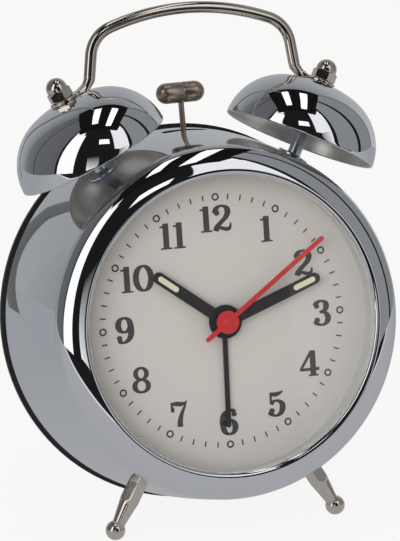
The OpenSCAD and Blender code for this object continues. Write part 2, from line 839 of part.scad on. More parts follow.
module fifth_wheel() {
    color("ivory") standing() translate(fifth_at) union() {
        pivot_shaft(plates[0], plates[1]);
        gear(fifth_teeth, pitch(fifth_teeth, rotor_teeth, rotor_c), gap_at(fifth_teeth, rotor_dir),
            fifth_z, wheel_t, 0);
        gear(fifth_pinion, pitch(fifth_pinion, second_teeth, fifth_c), fifth_dir + 180,
            fifth_z + wheel_t - eps, second_z - fifth_z + over, 0);
    }
}

module second_wheel() {
    color("ivory") standing() union() {
        rod(second_r, plates[0], second_hand_z + hand_t);
        gear(second_teeth, pitch(second_teeth, fifth_pinion, fifth_c), gap_at(second_teeth, fifth_dir),
            second_z, wheel_t, 0);
        gear(second_pinion, pitch(second_pinion, third_teeth, third_c), third_dir,
            second_z + wheel_t - eps, third_z - second_z + over, 0);
    }
}

module third_wheel() {
    color("ivory") standing() translate(third_at) union() {
        pivot_shaft(plates[0], plates[1]);
        gear(third_teeth, pitch(third_teeth, second_pinion, third_c), gap_at(third_teeth, third_dir + 180),
            third_z, wheel_t, 0);
        gear(third_pinion, pitch(third_pinion, centre_teeth, third_c), third_dir + 180,
            third_z + wheel_t - eps, centre_z - third_z + over, 0);
    }
}

module centre_wheel() {
    color("wheat") standing() gear(centre_teeth, pitch(centre_teeth, third_pinion, third_c),
        gap_at(centre_teeth, third_dir), centre_z, wheel_t, cannon_out + run_clear);
}

module cannon_pinion() {
    color("goldenrod") standing() difference() {
        union() {
            rod(cannon_out, centre_z - over, minute_hand_z + hand_t);
            gear(cannon_teeth, pitch(cannon_teeth, setting_teeth, setting_c), 180,
                setting_z - over, wheel_t + 2 * over, 0);
        }
        rod(cannon_in, -far, far);
    }
}

module setting_wheel() {
    color("ivory") standing() translate(setting_at) union() {
        rod(shaft_r, -rest_back - knob_gap - knob_h + knob_top, plates[1]);
        gear(setting_teeth, pitch(setting_teeth, cannon_teeth, setting_c), gap_at(setting_teeth, 0),
            setting_z, wheel_t, 0);
        gear(setting_pinion, pitch(setting_pinion, hour_teeth, setting_c), 0, setting_z + wheel_t - eps,
            hour_z - setting_z + thin_slack, 0);
    }
}

module hour_wheel() {
    color("ivory") standing() difference() {
        union() {
            rod(hour_out, hour_z, hour_hand_z + hand_t);
            gear(hour_teeth, pitch(hour_teeth, setting_pinion, setting_c), gap_at(hour_teeth, 180),
                hour_z, wheel_t, 0);
        }
        rod(hour_in, -far, far);
    }
}

module alarm_wheel() {
    color("ivory") standing() difference() {
        union() {
            rod(alarm_out, alarm_z, alarm_hand_z + hand_t);
            gear(alarm_teeth, pitch(alarm_teeth, alarm_pinion, setting_c), gap_at(alarm_teeth, 0),
                alarm_z, wheel_t, 0);
        }
        rod(alarm_in, -far, far);
    }
}

module alarm_setting_pinion() {
    color("ivory") standing() translate(alarm_shaft_at) union() {
        rod(shaft_r, -rest_back - knob_gap - knob_h + knob_top, plates[1]);
        gear(alarm_pinion, pitch(alarm_pinion, alarm_teeth, setting_c), 180,
            alarm_z - over, wheel_t + 2 * over, 0);
    }
}

// A springy leaf that the alarm wheel lifts at the set time, on a post of the front plate.
contact_at = [-18, 18];
contact_r = 1.4;
contact_below = 1.2;
leaf_below = 0.7;
leaf_len = 13;
leaf_w = 2;
leaf_t = 0.3;
module alarm_contact() {
    color("gold") standing() union() {
        translate(contact_at) rod(contact_r, alarm_z - contact_below, -plate_front - plate_t);
        translate([contact_at[0], contact_at[1], alarm_z - leaf_below]) rotate([0, 0, -45])
            translate([-leaf_w / 2, 0, 0]) cube([leaf_len, leaf_w, leaf_t]);
    }
}

// A baton hand with a round hub at the centre and a slot near its tip.
module baton(len, hub, bore_r, z) {
    difference() {
        union() {
            bar(hand_w, 0, len - hand_w / 2, z, hand_t);
            rod(hub, z, z + hand_t);
        }
        rod(bore_r, -far, far);
        lume_form(len, z - 1, hand_t + 2, 0);
    }
}

// The luminous insert of a baton hand.
lume_w = 1.75;
lume_len = 7.7;
lume_tip = 1.6;
hour_hub_r = 5.3;
minute_hub_r = 4.2;
second_hub_r = 3.6;
alarm_hub_r = 3.3;
second_tail = 9;
second_w = 1.4;
alarm_w = 1.5;
module lume_form(len, z, t, clear) {
    bar(lume_w - 2 * clear, len - lume_tip - lume_len + lume_w / 2, len - lume_tip - lume_w / 2, z, t);
}

module hour_hand() {
    color("#2b2b2b") standing() rotate([0, 0, -hour_at]) baton(hour_len, hour_hub_r, hour_out, hour_hand_z);
}

module hour_lume() {
    color("lemonchiffon") standing() rotate([0, 0, -hour_at]) lume_form(hour_len, hour_hand_z, hand_t, press);
}

module minute_hand() {
    color("#2b2b2b") standing() rotate([0, 0, -minute_at])
        baton(minute_len, minute_hub_r, cannon_out, minute_hand_z);
}

module minute_lume() {
    color("lemonchiffon") standing() rotate([0, 0, -minute_at])
        lume_form(minute_len, minute_hand_z, hand_t, press);
}

module second_hand() {
    color("crimson") standing() rotate([0, 0, -second_at]) difference() {
        union() {
            bar(second_w, -second_tail + second_w / 2, second_len - second_w / 2, second_hand_z, hand_t);
            rod(second_hub_r, second_hand_z, second_hand_z + hand_t);
        }
        rod(second_r, -far, far);
    }
}

module alarm_hand() {
    color("#2b2b2b") standing() rotate([0, 0, -alarm_at]) difference() {
        union() {
            bar(alarm_w, 0, alarm_len - alarm_w / 2, alarm_hand_z, hand_t);
            rod(alarm_hub_r, alarm_hand_z, alarm_hand_z + hand_t);
        }
        rod(alarm_out, -far, far);
    }
}

// A setting knob with a fluted edge, pressed on its shaft.
flutes = 16;
flute_r = 1;
flute_out = 0.5;
knob_top = 1;
module knob() {
    top = -rest_back - knob_gap;
    difference() {
        rod(knob_r, top - knob_h, top);
        for (i = [0 : flutes - 1])
            rotate([0, 0, i * 360 / flutes]) translate([knob_r + flute_out, 0])
            rod(flute_r, top - knob_h - 1, top + 1);
        rod(shaft_r, top - knob_h + knob_top, top + 1);
    }
}

module time_knob() {
    color("#262626") standing() translate(setting_at) knob();
}

module alarm_knob() {
    color("#262626") standing() translate(alarm_shaft_at) knob();
}

// The alarm's on and off slider: a button through the cover and a shoe that runs inside it.
shoe_more = 8;
shoe_h = 6;
shoe_t = 1.4;
shoe_clear = 0.1;
module alarm_switch() {
    shoe = [switch_travel + shoe_more, shoe_h, shoe_t];
    button_x = switch_at[0] - switch_travel / 2;
    color("gainsboro") standing() union() {
        translate([button_x - button_w / 2, switch_at[1] - button_h / 2, -rest_back - button_out])
            cube([button_w, button_h, button_out + cover_t + shoe_clear + shoe_t / 2]);
        translate([button_x - shoe[0] / 2, switch_at[1] - shoe[1] / 2, -case_rear + shoe_clear]) cube(shoe);
    }
}

nub_r = 2.7;
nub_h = 1.2;
module battery() {
    color("steelblue") standing() translate([0, -cell_y, cell_z]) rotate([0, 90, 0]) union() {
        rod(cell_r, -cell_len / 2, cell_len / 2 - nub_h);
        rod(nub_r, cell_len / 2 - nub_h - eps, cell_len / 2);
    }
}

// A plate at each end of the bay: one with a small button and one with a broad spring face.
contact_t = 0.5;
contact_w = 10;
contact_button_r = 2;
contact_spring_r = 4;
module battery_contacts() {
    color("gold") standing() {
        for (x = [bay_half - contact_t, -bay_half])
            translate([x, -cell_y - contact_w / 2, cell_z - contact_w / 2]) cube([contact_t, contact_w, contact_w]);
        translate([cell_len / 2 + press, -cell_y, cell_z]) rotate([0, 90, 0])
            rod(contact_button_r, 0, bay_end - press);
        translate([-bay_half, -cell_y, cell_z]) rotate([0, 90, 0]) rod(contact_spring_r, 0, bay_end - press);
    }
}

rib_pitch = 2.4;
rib_w = 1;
rib_l = 5;
rib_in = 2;
rib_deep = 0.4;
module battery_door() {
    half = [bay_half - door_clear, bay_high - door_clear];
    color("#202020") standing() difference() {
        translate([-half[0], -cell_y - half[1], -rest_back]) cube([2 * half[0], 2 * half[1], door_t]);
        for (i = [-2 : 2])
            translate([i * rib_pitch - rib_w / 2, -cell_y - half[1] + rib_in, -rest_back - 1])
                cube([rib_w, rib_l, rib_deep + 1]);
    }
}

// Place children on the hammer's pivot at its rest lean: y runs up the stem.
module at_hammer() {
    translate([0, pivot_y, -hammer_back]) rotate([0, 0, hammer_lean]) children();
}

groove_w = 0.5;
groove_deep = 0.35;
groove_at = 0.8;
socket_r = 2;
socket_len = 5;
stem_foot = 0.4;
tail_w = 2.4;
tail_t = 4;
module hammer_head() {
    half = head_len / 2 - head_r;
    color("darkkhaki") standing() at_hammer() translate([0, hammer_reach, 0]) difference() {
        rotate([0, 90, 0]) union() {
            rod(head_r, -half, half);
            translate([0, 0, half]) sphere(r = head_r);
            translate([0, 0, -half]) sphere(r = head_r);
        }
        rotate([0, 90, 0]) translate([0, 0, groove_at])
            tube(head_r + 1, head_r - groove_deep, -groove_w / 2, groove_w / 2);
        rotate([90, 0, 0]) rod(stem_r + press, head_r - head_seat - press, head_r + 1);
    }
}

module hammer_stem() {
    color("darkkhaki") standing() at_hammer() rotate([-90, 0, 0])
        rod(stem_r, hub_r + stem_foot, hammer_reach - head_r + head_seat);
}

// The hammer's lever: a hub on the pin, a socket for the stem and a tail for the magnet.
module hammer_lever() {
    color("whitesmoke") standing() at_hammer() difference() {
        union() {
            rod(hub_r, -hub_len / 2, hub_len / 2);
            rotate([-90, 0, 0]) rod(socket_r, 0, hub_r + socket_len);
            translate([-tail_w / 2, -tail_len + magnet[1] / 2, -tail_t / 2])
                cube([tail_w, tail_len - magnet[1] / 2, tail_t]);
        }
        rod(pivot_r + run_clear, -hub_len, hub_len);
        rotate([-90, 0, 0]) rod(stem_r, hub_r + stem_foot, hub_r + 2 * socket_len);
    }
}

module hammer_magnet() {
    color("dimgray") standing() at_hammer() translate([0, -tail_len, 0]) translate(-magnet / 2) cube(magnet);
}

pin_clear = 0.5;
module hammer_pivot() {
    hub_front = -hammer_back + hub_len / 2 + hub_clear;
    hub_rear = -hammer_back - hub_len / 2 - hub_clear;
    color("slategray") standing() translate([0, pivot_y])
        rod(pivot_r, hub_rear - screw_depth + pin_clear, hub_front + screw_depth - pin_clear);
}

// A horseshoe of iron with a pole on each side of the magnet's path.
module strike_core() {
    core_y = pivot_y - tail_len - core_drop;
    pole_end = pivot_y - tail_len + magnet[1] / 2;
    color("slategray") standing() translate([0, 0, -hammer_back - core_z / 2]) linear_extrude(core_z) {
        translate([-pole_x - core_t, core_y - core_t / 2]) square([2 * (pole_x + core_t), core_t]);
        for (x = [-pole_x - core_t, pole_x])
            translate([x, core_y - core_t / 2]) square([core_t, pole_end - core_y]);
    }
}

wire_r = 4.4;
flange_wire_r = 5.6;
coil_clear = 0.4;
cheek = 1;
module strike_coil() {
    core_y = pivot_y - tail_len - core_drop;
    half = pole_x - coil_clear;
    color("chocolate") standing() translate([0, core_y, -hammer_back]) rotate([0, 90, 0]) difference() {
        union() {
            rod(wire_r, -half, half);
            rod(flange_wire_r, -half, -half + cheek);
            rod(flange_wire_r, half - cheek, half);
        }
        translate([-core_z / 2 - press, -core_t / 2 - press, -far])
            cube([core_z + 2 * press, core_t + 2 * press, 2 * far]);
    }
}

case_shell();
bezel();
glass();
spacer_ring();
dial();
inner_frame();
back_cover();
cover_screws();
foot_left();
foot_right();
foot_nuts();
bell_left();
bell_right();
bell_post_left();
bell_post_right();
post_nuts();
handle();
cap_nuts();
movement_front();
movement_rear();
circuit_board();
drive_coil();
stator();
rotor();
fifth_wheel();
second_wheel();
third_wheel();
centre_wheel();
cannon_pinion();
setting_wheel();
hour_wheel();
alarm_wheel();
alarm_setting_pinion();
alarm_contact();
hour_hand();
hour_lume();
minute_hand();
minute_lume();
second_hand();
alarm_hand();
time_knob();
alarm_knob();
alarm_switch();
battery();
battery_contacts();
battery_door();
hammer_head();
hammer_stem();
hammer_lever();
hammer_magnet();
hammer_pivot();
strike_coil();
strike_core();
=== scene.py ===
"""Looks for a twin bell alarm clock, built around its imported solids.

The file is laid out as an add-on and run as a script. Shapes are worked out in millimetres in the
clock's own frame: x to the right, y up the dial, z out of the dial, with the dial's face at z = 0.
"""

import json
import math

import bmesh
import bpy
import numpy as np
from bpy.props import FloatProperty, FloatVectorProperty, PointerProperty
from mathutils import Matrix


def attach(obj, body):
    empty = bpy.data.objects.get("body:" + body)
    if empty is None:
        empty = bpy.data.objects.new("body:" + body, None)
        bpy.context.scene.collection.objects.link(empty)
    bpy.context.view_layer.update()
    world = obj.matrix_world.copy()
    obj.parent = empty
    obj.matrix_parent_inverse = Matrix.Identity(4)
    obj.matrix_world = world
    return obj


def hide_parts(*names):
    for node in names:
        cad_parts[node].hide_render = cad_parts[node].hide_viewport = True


bl_info = {
    "name": "Twin Bell Alarm Clock",
    "version": (1, 0, 0),
    "blender": (4, 5, 0),
    "location": "View3D > Sidebar > Clock",
    "description": "Chrome, dial print and studio for a twin bell alarm clock",
    "category": "Object",
}

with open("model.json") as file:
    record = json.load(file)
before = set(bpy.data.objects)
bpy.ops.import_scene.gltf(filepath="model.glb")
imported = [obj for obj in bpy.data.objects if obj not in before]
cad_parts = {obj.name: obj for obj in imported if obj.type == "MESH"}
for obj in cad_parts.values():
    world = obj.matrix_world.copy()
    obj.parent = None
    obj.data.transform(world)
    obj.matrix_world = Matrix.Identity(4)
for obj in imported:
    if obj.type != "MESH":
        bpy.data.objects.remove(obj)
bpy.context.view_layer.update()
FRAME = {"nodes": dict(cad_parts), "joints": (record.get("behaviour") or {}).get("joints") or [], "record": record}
MM = 0.001


def joint(name):
    """A joint of the frame, by its name."""
    return next(j for j in FRAME["joints"] if j["name"] == name)


# The clock's frame in the shared frame, read from the joint that turns the second hand.
DIAL = np.array(joint("second_turn")["pos_m"], float)
OUT = -np.array(joint("second_turn")["axis"], float)
RIGHT = np.array([1.0, 0.0, 0.0])
AXES = np.stack([RIGHT, np.cross(OUT, RIGHT), OUT])
SIDES = ((-1, "left"), (1, "right"))


def pivot_of(name):
    """Place of a joint in the clock's frame, in millimetres."""
    return ((np.array(joint(name)["pos_m"]) - DIAL) / MM) @ AXES.T


def length(name, millimetres, text):
    """A length that a user may change, stored in metres."""
    return FloatProperty(name=name, description=text, default=millimetres * MM, unit="LENGTH")


def angle(name, degrees, text):
    """An angle that a user may change, stored in radians."""
    return FloatProperty(name=name, description=text, default=math.radians(degrees), subtype="ANGLE")


def colour(name, rgb, text):
    """A colour that a user may change."""
    return FloatVectorProperty(name=name, description=text, default=rgb, subtype="COLOR", size=3, min=0, max=1)


class ClockSizes(bpy.types.PropertyGroup):
    """Sizes of the pieces that are drawn afresh, as in the solids but for the case's swell and the sloped ring."""

    case_front_r: length("Case front radius", 55.3, "Radius of the case wall at its front edge")
    case_rear_r: length("Case rear radius", 60.0, "Radius of the case wall at its rear edge")
    case_front: length("Case front", 5.5, "How far the wall's front edge is ahead of the dial")
    case_rear: length("Case rear", 41.5, "How far the wall's rear edge is behind the dial")
    case_bulge: length("Case bulge", 0.6, "Swell of the wall beyond a straight taper")
    case_wall: length("Case wall", 0.8, "Thickness of the case wall")
    slot_half: length("Slot half length", 7.2949, "Half length of the hammer's slot")
    slot_w: length("Slot width", 4.0, "Width of the hammer's slot")
    roll_r: length("Bezel roll", 6.6, "Width of the bezel from its inner rounding to the case")
    crest_rise: length("Bezel crest", 7.4, "Height of the bezel's crest above the case's front edge")
    fold_r: length("Bezel fold", 2.6, "Width of the bezel's inner rounding")
    bezel_t: length("Bezel sheet", 0.8, "Thickness of the bezel's sheet")
    glass_rise: length("Glass height", 3.4, "Height of the glass's front above the case's front edge")
    glass_t: length("Glass thickness", 1.6, "Thickness of the glass")
    slope_foot_r: length("Slope foot", 47.4, "Radius of the sloped ring at the dial")
    slope_head_r: length("Slope head", 50.6, "Radius of the sloped ring under the glass")
    second_hub: length("Second hub", 5.5, "Front face of the second hand's hub above the dial")
    bell_x: length("Bell place", 33.9, "Distance of a bell's rim centre from the middle")
    bell_y: length("Bell height", 53.7, "Height of a bell's rim centre above the dial's centre")
    bell_back: length("Bell depth", 14.5, "How far the bells lie behind the dial")
    bell_tilt: angle("Bell lean", 26.0, "Lean of each bell from the vertical")
    bell_r: length("Bell radius", 24.8, "Radius of a bell's rim")
    bell_dome: length("Bell dome height", 19.5, "Height above the rim at which the crown's curve meets the axis")
    bell_flat_r: length("Bell flat", 5.0, "Radius of the flat on a bell's crown")
    bell_hole_r: length("Bell hole", 1.75, "Radius of the hole in a bell's crown")
    bell_side_r: length("Bell side curve", 18.6, "Radius of the bell's side curve")
    bell_wall: length("Bell wall", 0.9, "Thickness of a bell's wall")
    post_r: length("Post radius", 2.15, "Radius of the post under a bell")
    flange_r: length("Flange radius", 5.0, "Radius of the post's flange")
    flange_t: length("Flange thickness", 0.7, "Thickness of the post's flange")
    rod_r: length("Handle rod radius", 1.9, "Radius of the handle's rod")
    handle_top: length("Handle top", 97.8, "Height of the handle's arch above the dial's centre")
    handle_lean: angle("Handle leg lean", 7.6, "Lean of the handle's legs")
    handle_foot_r: length("Handle foot bend", 1.6, "Radius of the bend between a leg and its tab")
    handle_bend_r: length("Handle bend", 10.2, "Radius of the handle's corner bends")
    handle_arch_r: length("Handle arch", 75.3, "Radius of the arch along the handle's top")
    tab_len: length("Tab length", 10.5, "Distance from a cap nut to the handle's foot bend")
    tab_t: length("Tab thickness", 1.1, "Thickness of the handle's flattened ends")
    tab_r: length("Tab half width", 4.4, "Half width of the handle's flattened ends")
    cap_hex: length("Cap nut flats", 7.0, "Width across the flats of a cap nut")
    cap_hex_h: length("Cap nut hexagon", 3.2, "Height of a cap nut's hexagon")
    cap_dome_r: length("Cap nut dome", 3.3, "Radius of a cap nut's dome")
    foot_angle: angle("Foot angle", 30.0, "Angle of each foot from straight down")
    foot_back: length("Foot depth", 8.5, "How far the feet are behind the dial")
    foot_reach: length("Foot reach", 73.1, "Distance of the ball from the clock's axis")
    foot_ball_r: length("Foot ball", 3.1, "Radius of a foot's ball")
    foot_hex: length("Foot flats", 5.9, "Width across the flats of a foot")
    foot_hex_len: length("Foot hexagon", 6.6, "Length of a foot's hexagon")
    foot_neck_r: length("Foot neck", 2.0, "Radius of the neck above the ball")
    foot_chamfer: length("Foot chamfer", 1.2, "Length of the chamfer under a foot's hexagon")
    foot_turn: angle("Foot turn", 15.0, "Turn of a foot's corner from the front")
    foot_taper_r: length("Foot taper", 2.9, "Radius of the taper below the hexagon")
    hammer_lean: angle("Hammer lean", 1.5, "Lean of the hammer at rest")
    hammer_reach: length("Hammer reach", 25.1, "Distance from the pivot to the hammer's head")
    head_len: length("Hammer head length", 15.9, "Length of the hammer's head")
    head_r: length("Hammer head radius", 3.3, "Radius of the hammer's head")
    stem_r: length("Hammer stem radius", 0.9, "Radius of the hammer's stem")
    knob_r: length("Knob radius", 7.0, "Radius of the setting knobs")
    knob_h: length("Knob height", 5.4, "Height of the setting knobs")
    numeral_h: length("Numeral height", 8.2, "Height of the dial's numerals")
    numeral_r: length("Numeral circle", 31.6, "Radius of the circle that the numerals stand on")
    track_r: length("Minute track", 38.8, "Radius of the minute marks")


class ClockFinishes(bpy.types.PropertyGroup):
    """Colours of the finishes."""

    chrome: colour("Chrome", (0.82, 0.835, 0.86), "Mirror chrome of the case and bells")
    # Inside the bells: a warmer finish whose colour is lighter than the chrome, painted light for the shade inside the
    # bells.
    satin: colour("Satin", (0.90, 0.87, 0.83), "Warm plating inside the bells")
    nickel: colour("Nickel", (0.74, 0.67, 0.60), "Warmer polish of the handle, nuts and feet")
    hammer: colour("Hammer", (0.50, 0.40, 0.32), "Brown polish of the hammer")
    zinc: colour("Zinc", (0.60, 0.66, 0.74), "Bluish plating of the posts")
    dial: colour("Dial", (0.63, 0.60, 0.57), "Dial face")
    slope: colour("Sloped ring", (0.50, 0.52, 0.49), "Pale ring between the dial and the glass")
    ink: colour("Ink", (0.062, 0.061, 0.062), "Printed numerals and marks")
    black: colour("Black plastic", (0.012, 0.012, 0.013), "Back cover and knobs")
    red: colour("Red", (0.55, 0.03, 0.035), "Second hand")
    lume: colour("Insert", (0.72, 0.69, 0.50), "Pale inserts of the hands")


def sizes():
    """The sizes in millimetres, and the angles in radians, as one mapping."""
    group = bpy.context.scene.clock_sizes
    out = {}
    for prop in group.bl_rna.properties:
        if prop.identifier not in ("rna_type", "name"):
            value = getattr(group, prop.identifier)
            out[prop.identifier] = value if prop.subtype == "ANGLE" else value / MM
    return out


# Finishes: procedural materials on Object coordinates.

# Each has its colour, or the name of one that a user may change, how metallic and how rough it is, how far the
# roughness spreads, the scale of the noise that spreads it, and the strength of its grain.
FINISHES = {
    "chrome": ("chrome", 1.0, 0.03, 0.01, 60.0, 0),
    "bell_chrome": ((1, 1, 1), 1.0, 0.03, 0.01, 60.0, 0),
    "warm_nickel": ("nickel", 1.0, 0.12, 0.03, 300.0, 0),
    "hammer_brown": ("hammer", 1.0, 0.3, 0.02, 120.0, 0),
    "zinc_steel": ("zinc", 1.0, 0.24, 0.05, 500.0, 0),
    "clear_glass": ((1, 1, 1), 0.0, 0.0, 0, 0, 0),
    "dial_paper": ("dial", 0.0, 0.55, 0.05, 900.0, 0),
    "dial_ink": ("ink", 0.0, 0.6, 0.05, 900.0, 0),
    "slope_grey": ("slope", 0.0, 0.45, 0.05, 600.0, 0),
    "pale_plastic": ((0.55, 0.54, 0.52), 0.0, 0.5, 0.05, 600.0, 0),
    "black_plastic": ("black", 0.0, 0.42, 0.08, 1500.0, 0.15),
    "grey_plastic": ((0.30, 0.31, 0.32), 0.0, 0.45, 0.06, 900.0, 0),
    "white_gear": ((0.72, 0.70, 0.63), 0.0, 0.38, 0.05, 900.0, 0),
    "brass": ((0.72, 0.50, 0.20), 1.0, 0.25, 0.06, 500.0, 0),
    "soft_iron": ((0.30, 0.31, 0.33), 1.0, 0.4, 0.08, 500.0, 0),
    "magnet_black": ((0.05, 0.05, 0.055), 0.3, 0.5, 0.08, 500.0, 0),
    "copper_winding": ((0.50, 0.16, 0.06), 0.8, 0.3, 0.08, 2500.0, 0.3),
    "green_board": ((0.02, 0.12, 0.05), 0.0, 0.35, 0.05, 700.0, 0),
    "black_hand": ((0.028, 0.028, 0.03), 0.0, 0.4, 0.05, 800.0, 0),
    "lume": ("lume", 0.0, 0.7, 0.05, 1500.0, 0),
    "red_hand": ("red", 0.0, 0.38, 0.05, 800.0, 0),
    "cell_jacket": ((0.05, 0.08, 0.18), 0.2, 0.35, 0.05, 400.0, 0),
}
GRAIN_DEPTH, GLASS_IOR = 0.0001, 1.45
MATERIALS = {}


def feed(tree, node, values):
    """Give a node's sockets their constants, or a link where the value is another node's socket."""
    for key, value in values.items():
        if isinstance(value, bpy.types.NodeSocket):
            tree.links.new(value, node.inputs[key])
        else:
            node.inputs[key].default_value = value


def add_node(tree, kind, values=None, **settings):
    """A new shader node with its settings, whose sockets are then fed."""
    node = tree.nodes.new("ShaderNode" + kind)
    for key, value in settings.items():
        setattr(node, key, value)
    feed(tree, node, values or {})
    return node


def any_ray(tree, *kinds):
    """1 on a light path of any of these kinds, and 0 on others."""
    path = add_node(tree, "LightPath")
    found = path.outputs[f"Is {kinds[0]} Ray"]
    for kind in kinds[1:]:
        pair = {0: found, 1: path.outputs[f"Is {kind} Ray"]}
        found = add_node(tree, "Math", pair, operation="MAXIMUM").outputs[0]
    return found


def blended(tree, share, first, second):
    """Two shaders mixed, the second by its share."""
    return add_node(tree, "MixShader", {0: share, 1: first.outputs[0], 2: second.outputs[0]})


def clear_in_shadow(tree, shader):
    """Glass that lets light and shadow through: swapped for a clear shader on shadow and diffuse rays."""
    feed(tree, shader, {"Transmission Weight": 1.0, "IOR": GLASS_IOR})
    clear = add_node(tree, "BsdfTransparent")
    mix = blended(tree, any_ray(tree, "Shadow", "Diffuse"), shader, clear)
    feed(tree, tree.nodes["Material Output"], {"Surface": mix.outputs[0]})


def satin_inside(tree, shader):
    """Chrome that turns to a warmer, rougher and less metallic finish where the face attribute "inside" is 1. Its
    colour there is lighter than the chrome: painted light in the shade inside the bell.
    """
    less_metallic, more_rough = 0.2, 0.27
    colours = bpy.context.scene.clock_finishes
    inside = add_node(tree, "Attribute", attribute_name="inside").outputs["Fac"]
    pair = {"A": (*colours.chrome, 1), "B": (*colours.satin, 1), "Factor": inside}
    tone = add_node(tree, "Mix", pair, data_type="RGBA")
    bare = add_node(tree, "Math", {0: inside, 1: -less_metallic, 2: 1.0}, operation="MULTIPLY_ADD")
    rough = shader.inputs["Roughness"].links[0].from_socket
    satin = add_node(tree, "Math", {0: inside, 1: more_rough, 2: rough}, operation="MULTIPLY_ADD")
    feed(tree, shader, {"Base Color": tone.outputs["Result"], "Metallic": bare.outputs[0],
                        "Roughness": satin.outputs[0]})


def finish(name):
    """A Principled finish, made once. A noise on Object coordinates spreads its roughness and raises its grain."""
    if name in MATERIALS:
        return MATERIALS[name]
    rgb, metallic, rough, spread, scale, grain = FINISHES[name]
    if isinstance(rgb, str):
        rgb = getattr(bpy.context.scene.clock_finishes, rgb)
    mat = MATERIALS[name] = bpy.data.materials.new(name)
    mat.use_nodes = True
    tree = mat.node_tree
    shader = tree.nodes["Principled BSDF"]
    feed(tree, shader, {"Base Color": (*rgb, 1), "Metallic": metallic, "Roughness": rough})
    if spread:
        where = add_node(tree, "TexCoord").outputs["Object"]
        noise = add_node(tree, "TexNoise", {"Vector": where, "Scale": scale, "Detail": 3}).outputs["Fac"]
        span = {"Value": noise, "To Min": max(rough - spread, 0), "To Max": rough + spread}
        feed(tree, shader, {"Roughness": add_node(tree, "MapRange", span).outputs["Result"]})
    if grain:
        bump = add_node(tree, "Bump", {"Strength": grain, "Distance": GRAIN_DEPTH, "Height": noise})
        feed(tree, shader, {"Normal": bump.outputs["Normal"]})
    if name == "clear_glass":
        clear_in_shadow(tree, shader)
    # Inside the bells the colour is painted light over a rougher, warmer finish.
    if name == "bell_chrome":
        satin_inside(tree, shader)
    return mat


# Shapes: arrays of points in the clock's frame, and meshes made from them.

# Points closer than the weld become one, and edges shorter than the sliver go, in metres.
WELD, SLIVER = 2e-7, 1e-8


def place(points):
    """Millimetres to metres of the shared frame: the dial's centre plus x, y and z along the clock's axes."""
    return DIAL + (np.asarray(points, float) * MM) @ AXES


def arc(centre, radius, start, end, count):
    """Points at even angles, in degrees, on a circle about centre."""
    a = np.radians(np.linspace(start, end, count))
    return np.stack([centre[0] + radius * np.cos(a), centre[1] + radius * np.sin(a)], 1)


def turns(count):
    """Even angles round a full turn."""
    return np.linspace(0, 2 * np.pi, count, endpoint=False)


def swept(radius, height, origin=(0, 0, 0), axis=(0, 0, 1), start=(1, 0, 0)):
    """A surface with a radius for each turn and height: origin + height * axis + radius * direction(turn).

    The direction is cos(turn) * start + sin(turn) * (axis x start).
    """
    radius, height, axis, start = (np.asarray(v, float) for v in (radius, height, axis, start))
    a = turns(len(radius))[:, None]
    spin = np.cos(a) * start + np.sin(a) * np.cross(axis, start)
    return np.array(origin) + height[None, :, None] * axis + radius[:, :, None] * spin[:, None, :]


def turned(profile, origin=(0, 0, 0), axis=(0, 0, 1), start=(1, 0, 0), count=160):
    """A profile of radius and height carried round an axis."""
    radius, height = np.asarray(profile, float).T
    return swept(np.tile(radius, (count, 1)), height, origin, axis, start)


def hexagon(turn, flats):
    """Radius of a hexagon of that width across flats, at each turn, with a corner at turn 0."""
    a = (turn + np.pi / 6) % (np.pi / 3) - np.pi / 6
    return flats / 2 / np.cos(np.pi / 6 - np.abs(a))


def capped(rows):
    """Rows of closed sections with a row at the middle of the first and of the last, which closes the ends."""
    first, last = (np.repeat(rows[k].mean(0)[None, None], rows.shape[1], 1) for k in (0, -1))
    return np.concatenate([first, rows, last])


def grid_faces(rows, columns, wrap_rows, wrap_columns):
    """Quads between the neighbours of a grid of rows by columns."""
    r = np.arange(rows if wrap_rows else rows - 1)[:, None]
    c = np.arange(columns if wrap_columns else columns - 1)[None, :]
    this, following = r * columns, (r + 1) % rows * columns
    beside = (c + 1) % columns
    return np.stack([this + c, following + c, following + beside, this + beside], -1).reshape(-1, 4)


def make_piece(name, parts, slot, replaces=(), body="clock", look=None, sharp=32.0):
    """One mesh object from grids. Each part is (points, wrap rows, wrap columns) or (points, faces)."""
    points, faces, first = [], [], 0
    for grid, *way in parts:
        grid = np.asarray(grid, float)
        faces.append(first + (grid_faces(*grid.shape[:2], *way) if len(way) == 2 else way[0]))
        points.append(grid.reshape(-1, 3))
        first += len(points[-1])
    mesh = bpy.data.meshes.new(name)
    mesh.from_pydata(place(np.concatenate(points)).tolist(), [], np.concatenate(faces).tolist())
    work = bmesh.new()
    work.from_mesh(mesh)
    bmesh.ops.remove_doubles(work, verts=work.verts, dist=WELD)
    bmesh.ops.dissolve_degenerate(work, edges=work.edges, dist=SLIVER)
    bmesh.ops.recalc_face_normals(work, faces=work.faces)
    work.to_mesh(mesh)
    work.free()
    mesh.polygons.foreach_set("use_smooth", np.ones(len(mesh.polygons), bool))
    mesh.set_sharp_from_angle(angle=math.radians(sharp))
    mesh.materials.append(finish(look or slot))
    obj = bpy.data.objects.new(name, mesh)
    bpy.context.scene.collection.objects.link(obj)
    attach(obj, body)
    if replaces:
        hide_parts(*replaces)
    return obj


# Lines and curves of the case, bells and handle.


def bell_frame(s, side):
    """Rim centre, axis out of the crown and a cross direction of a bell."""
    tilt = s["bell_tilt"]
    origin = np.array([side * s["bell_x"], s["bell_y"], -s["bell_back"]])
    axis = np.array([side * math.sin(tilt), math.cos(tilt), 0.0])
    return origin, axis, np.array([0.0, 0.0, 1.0])


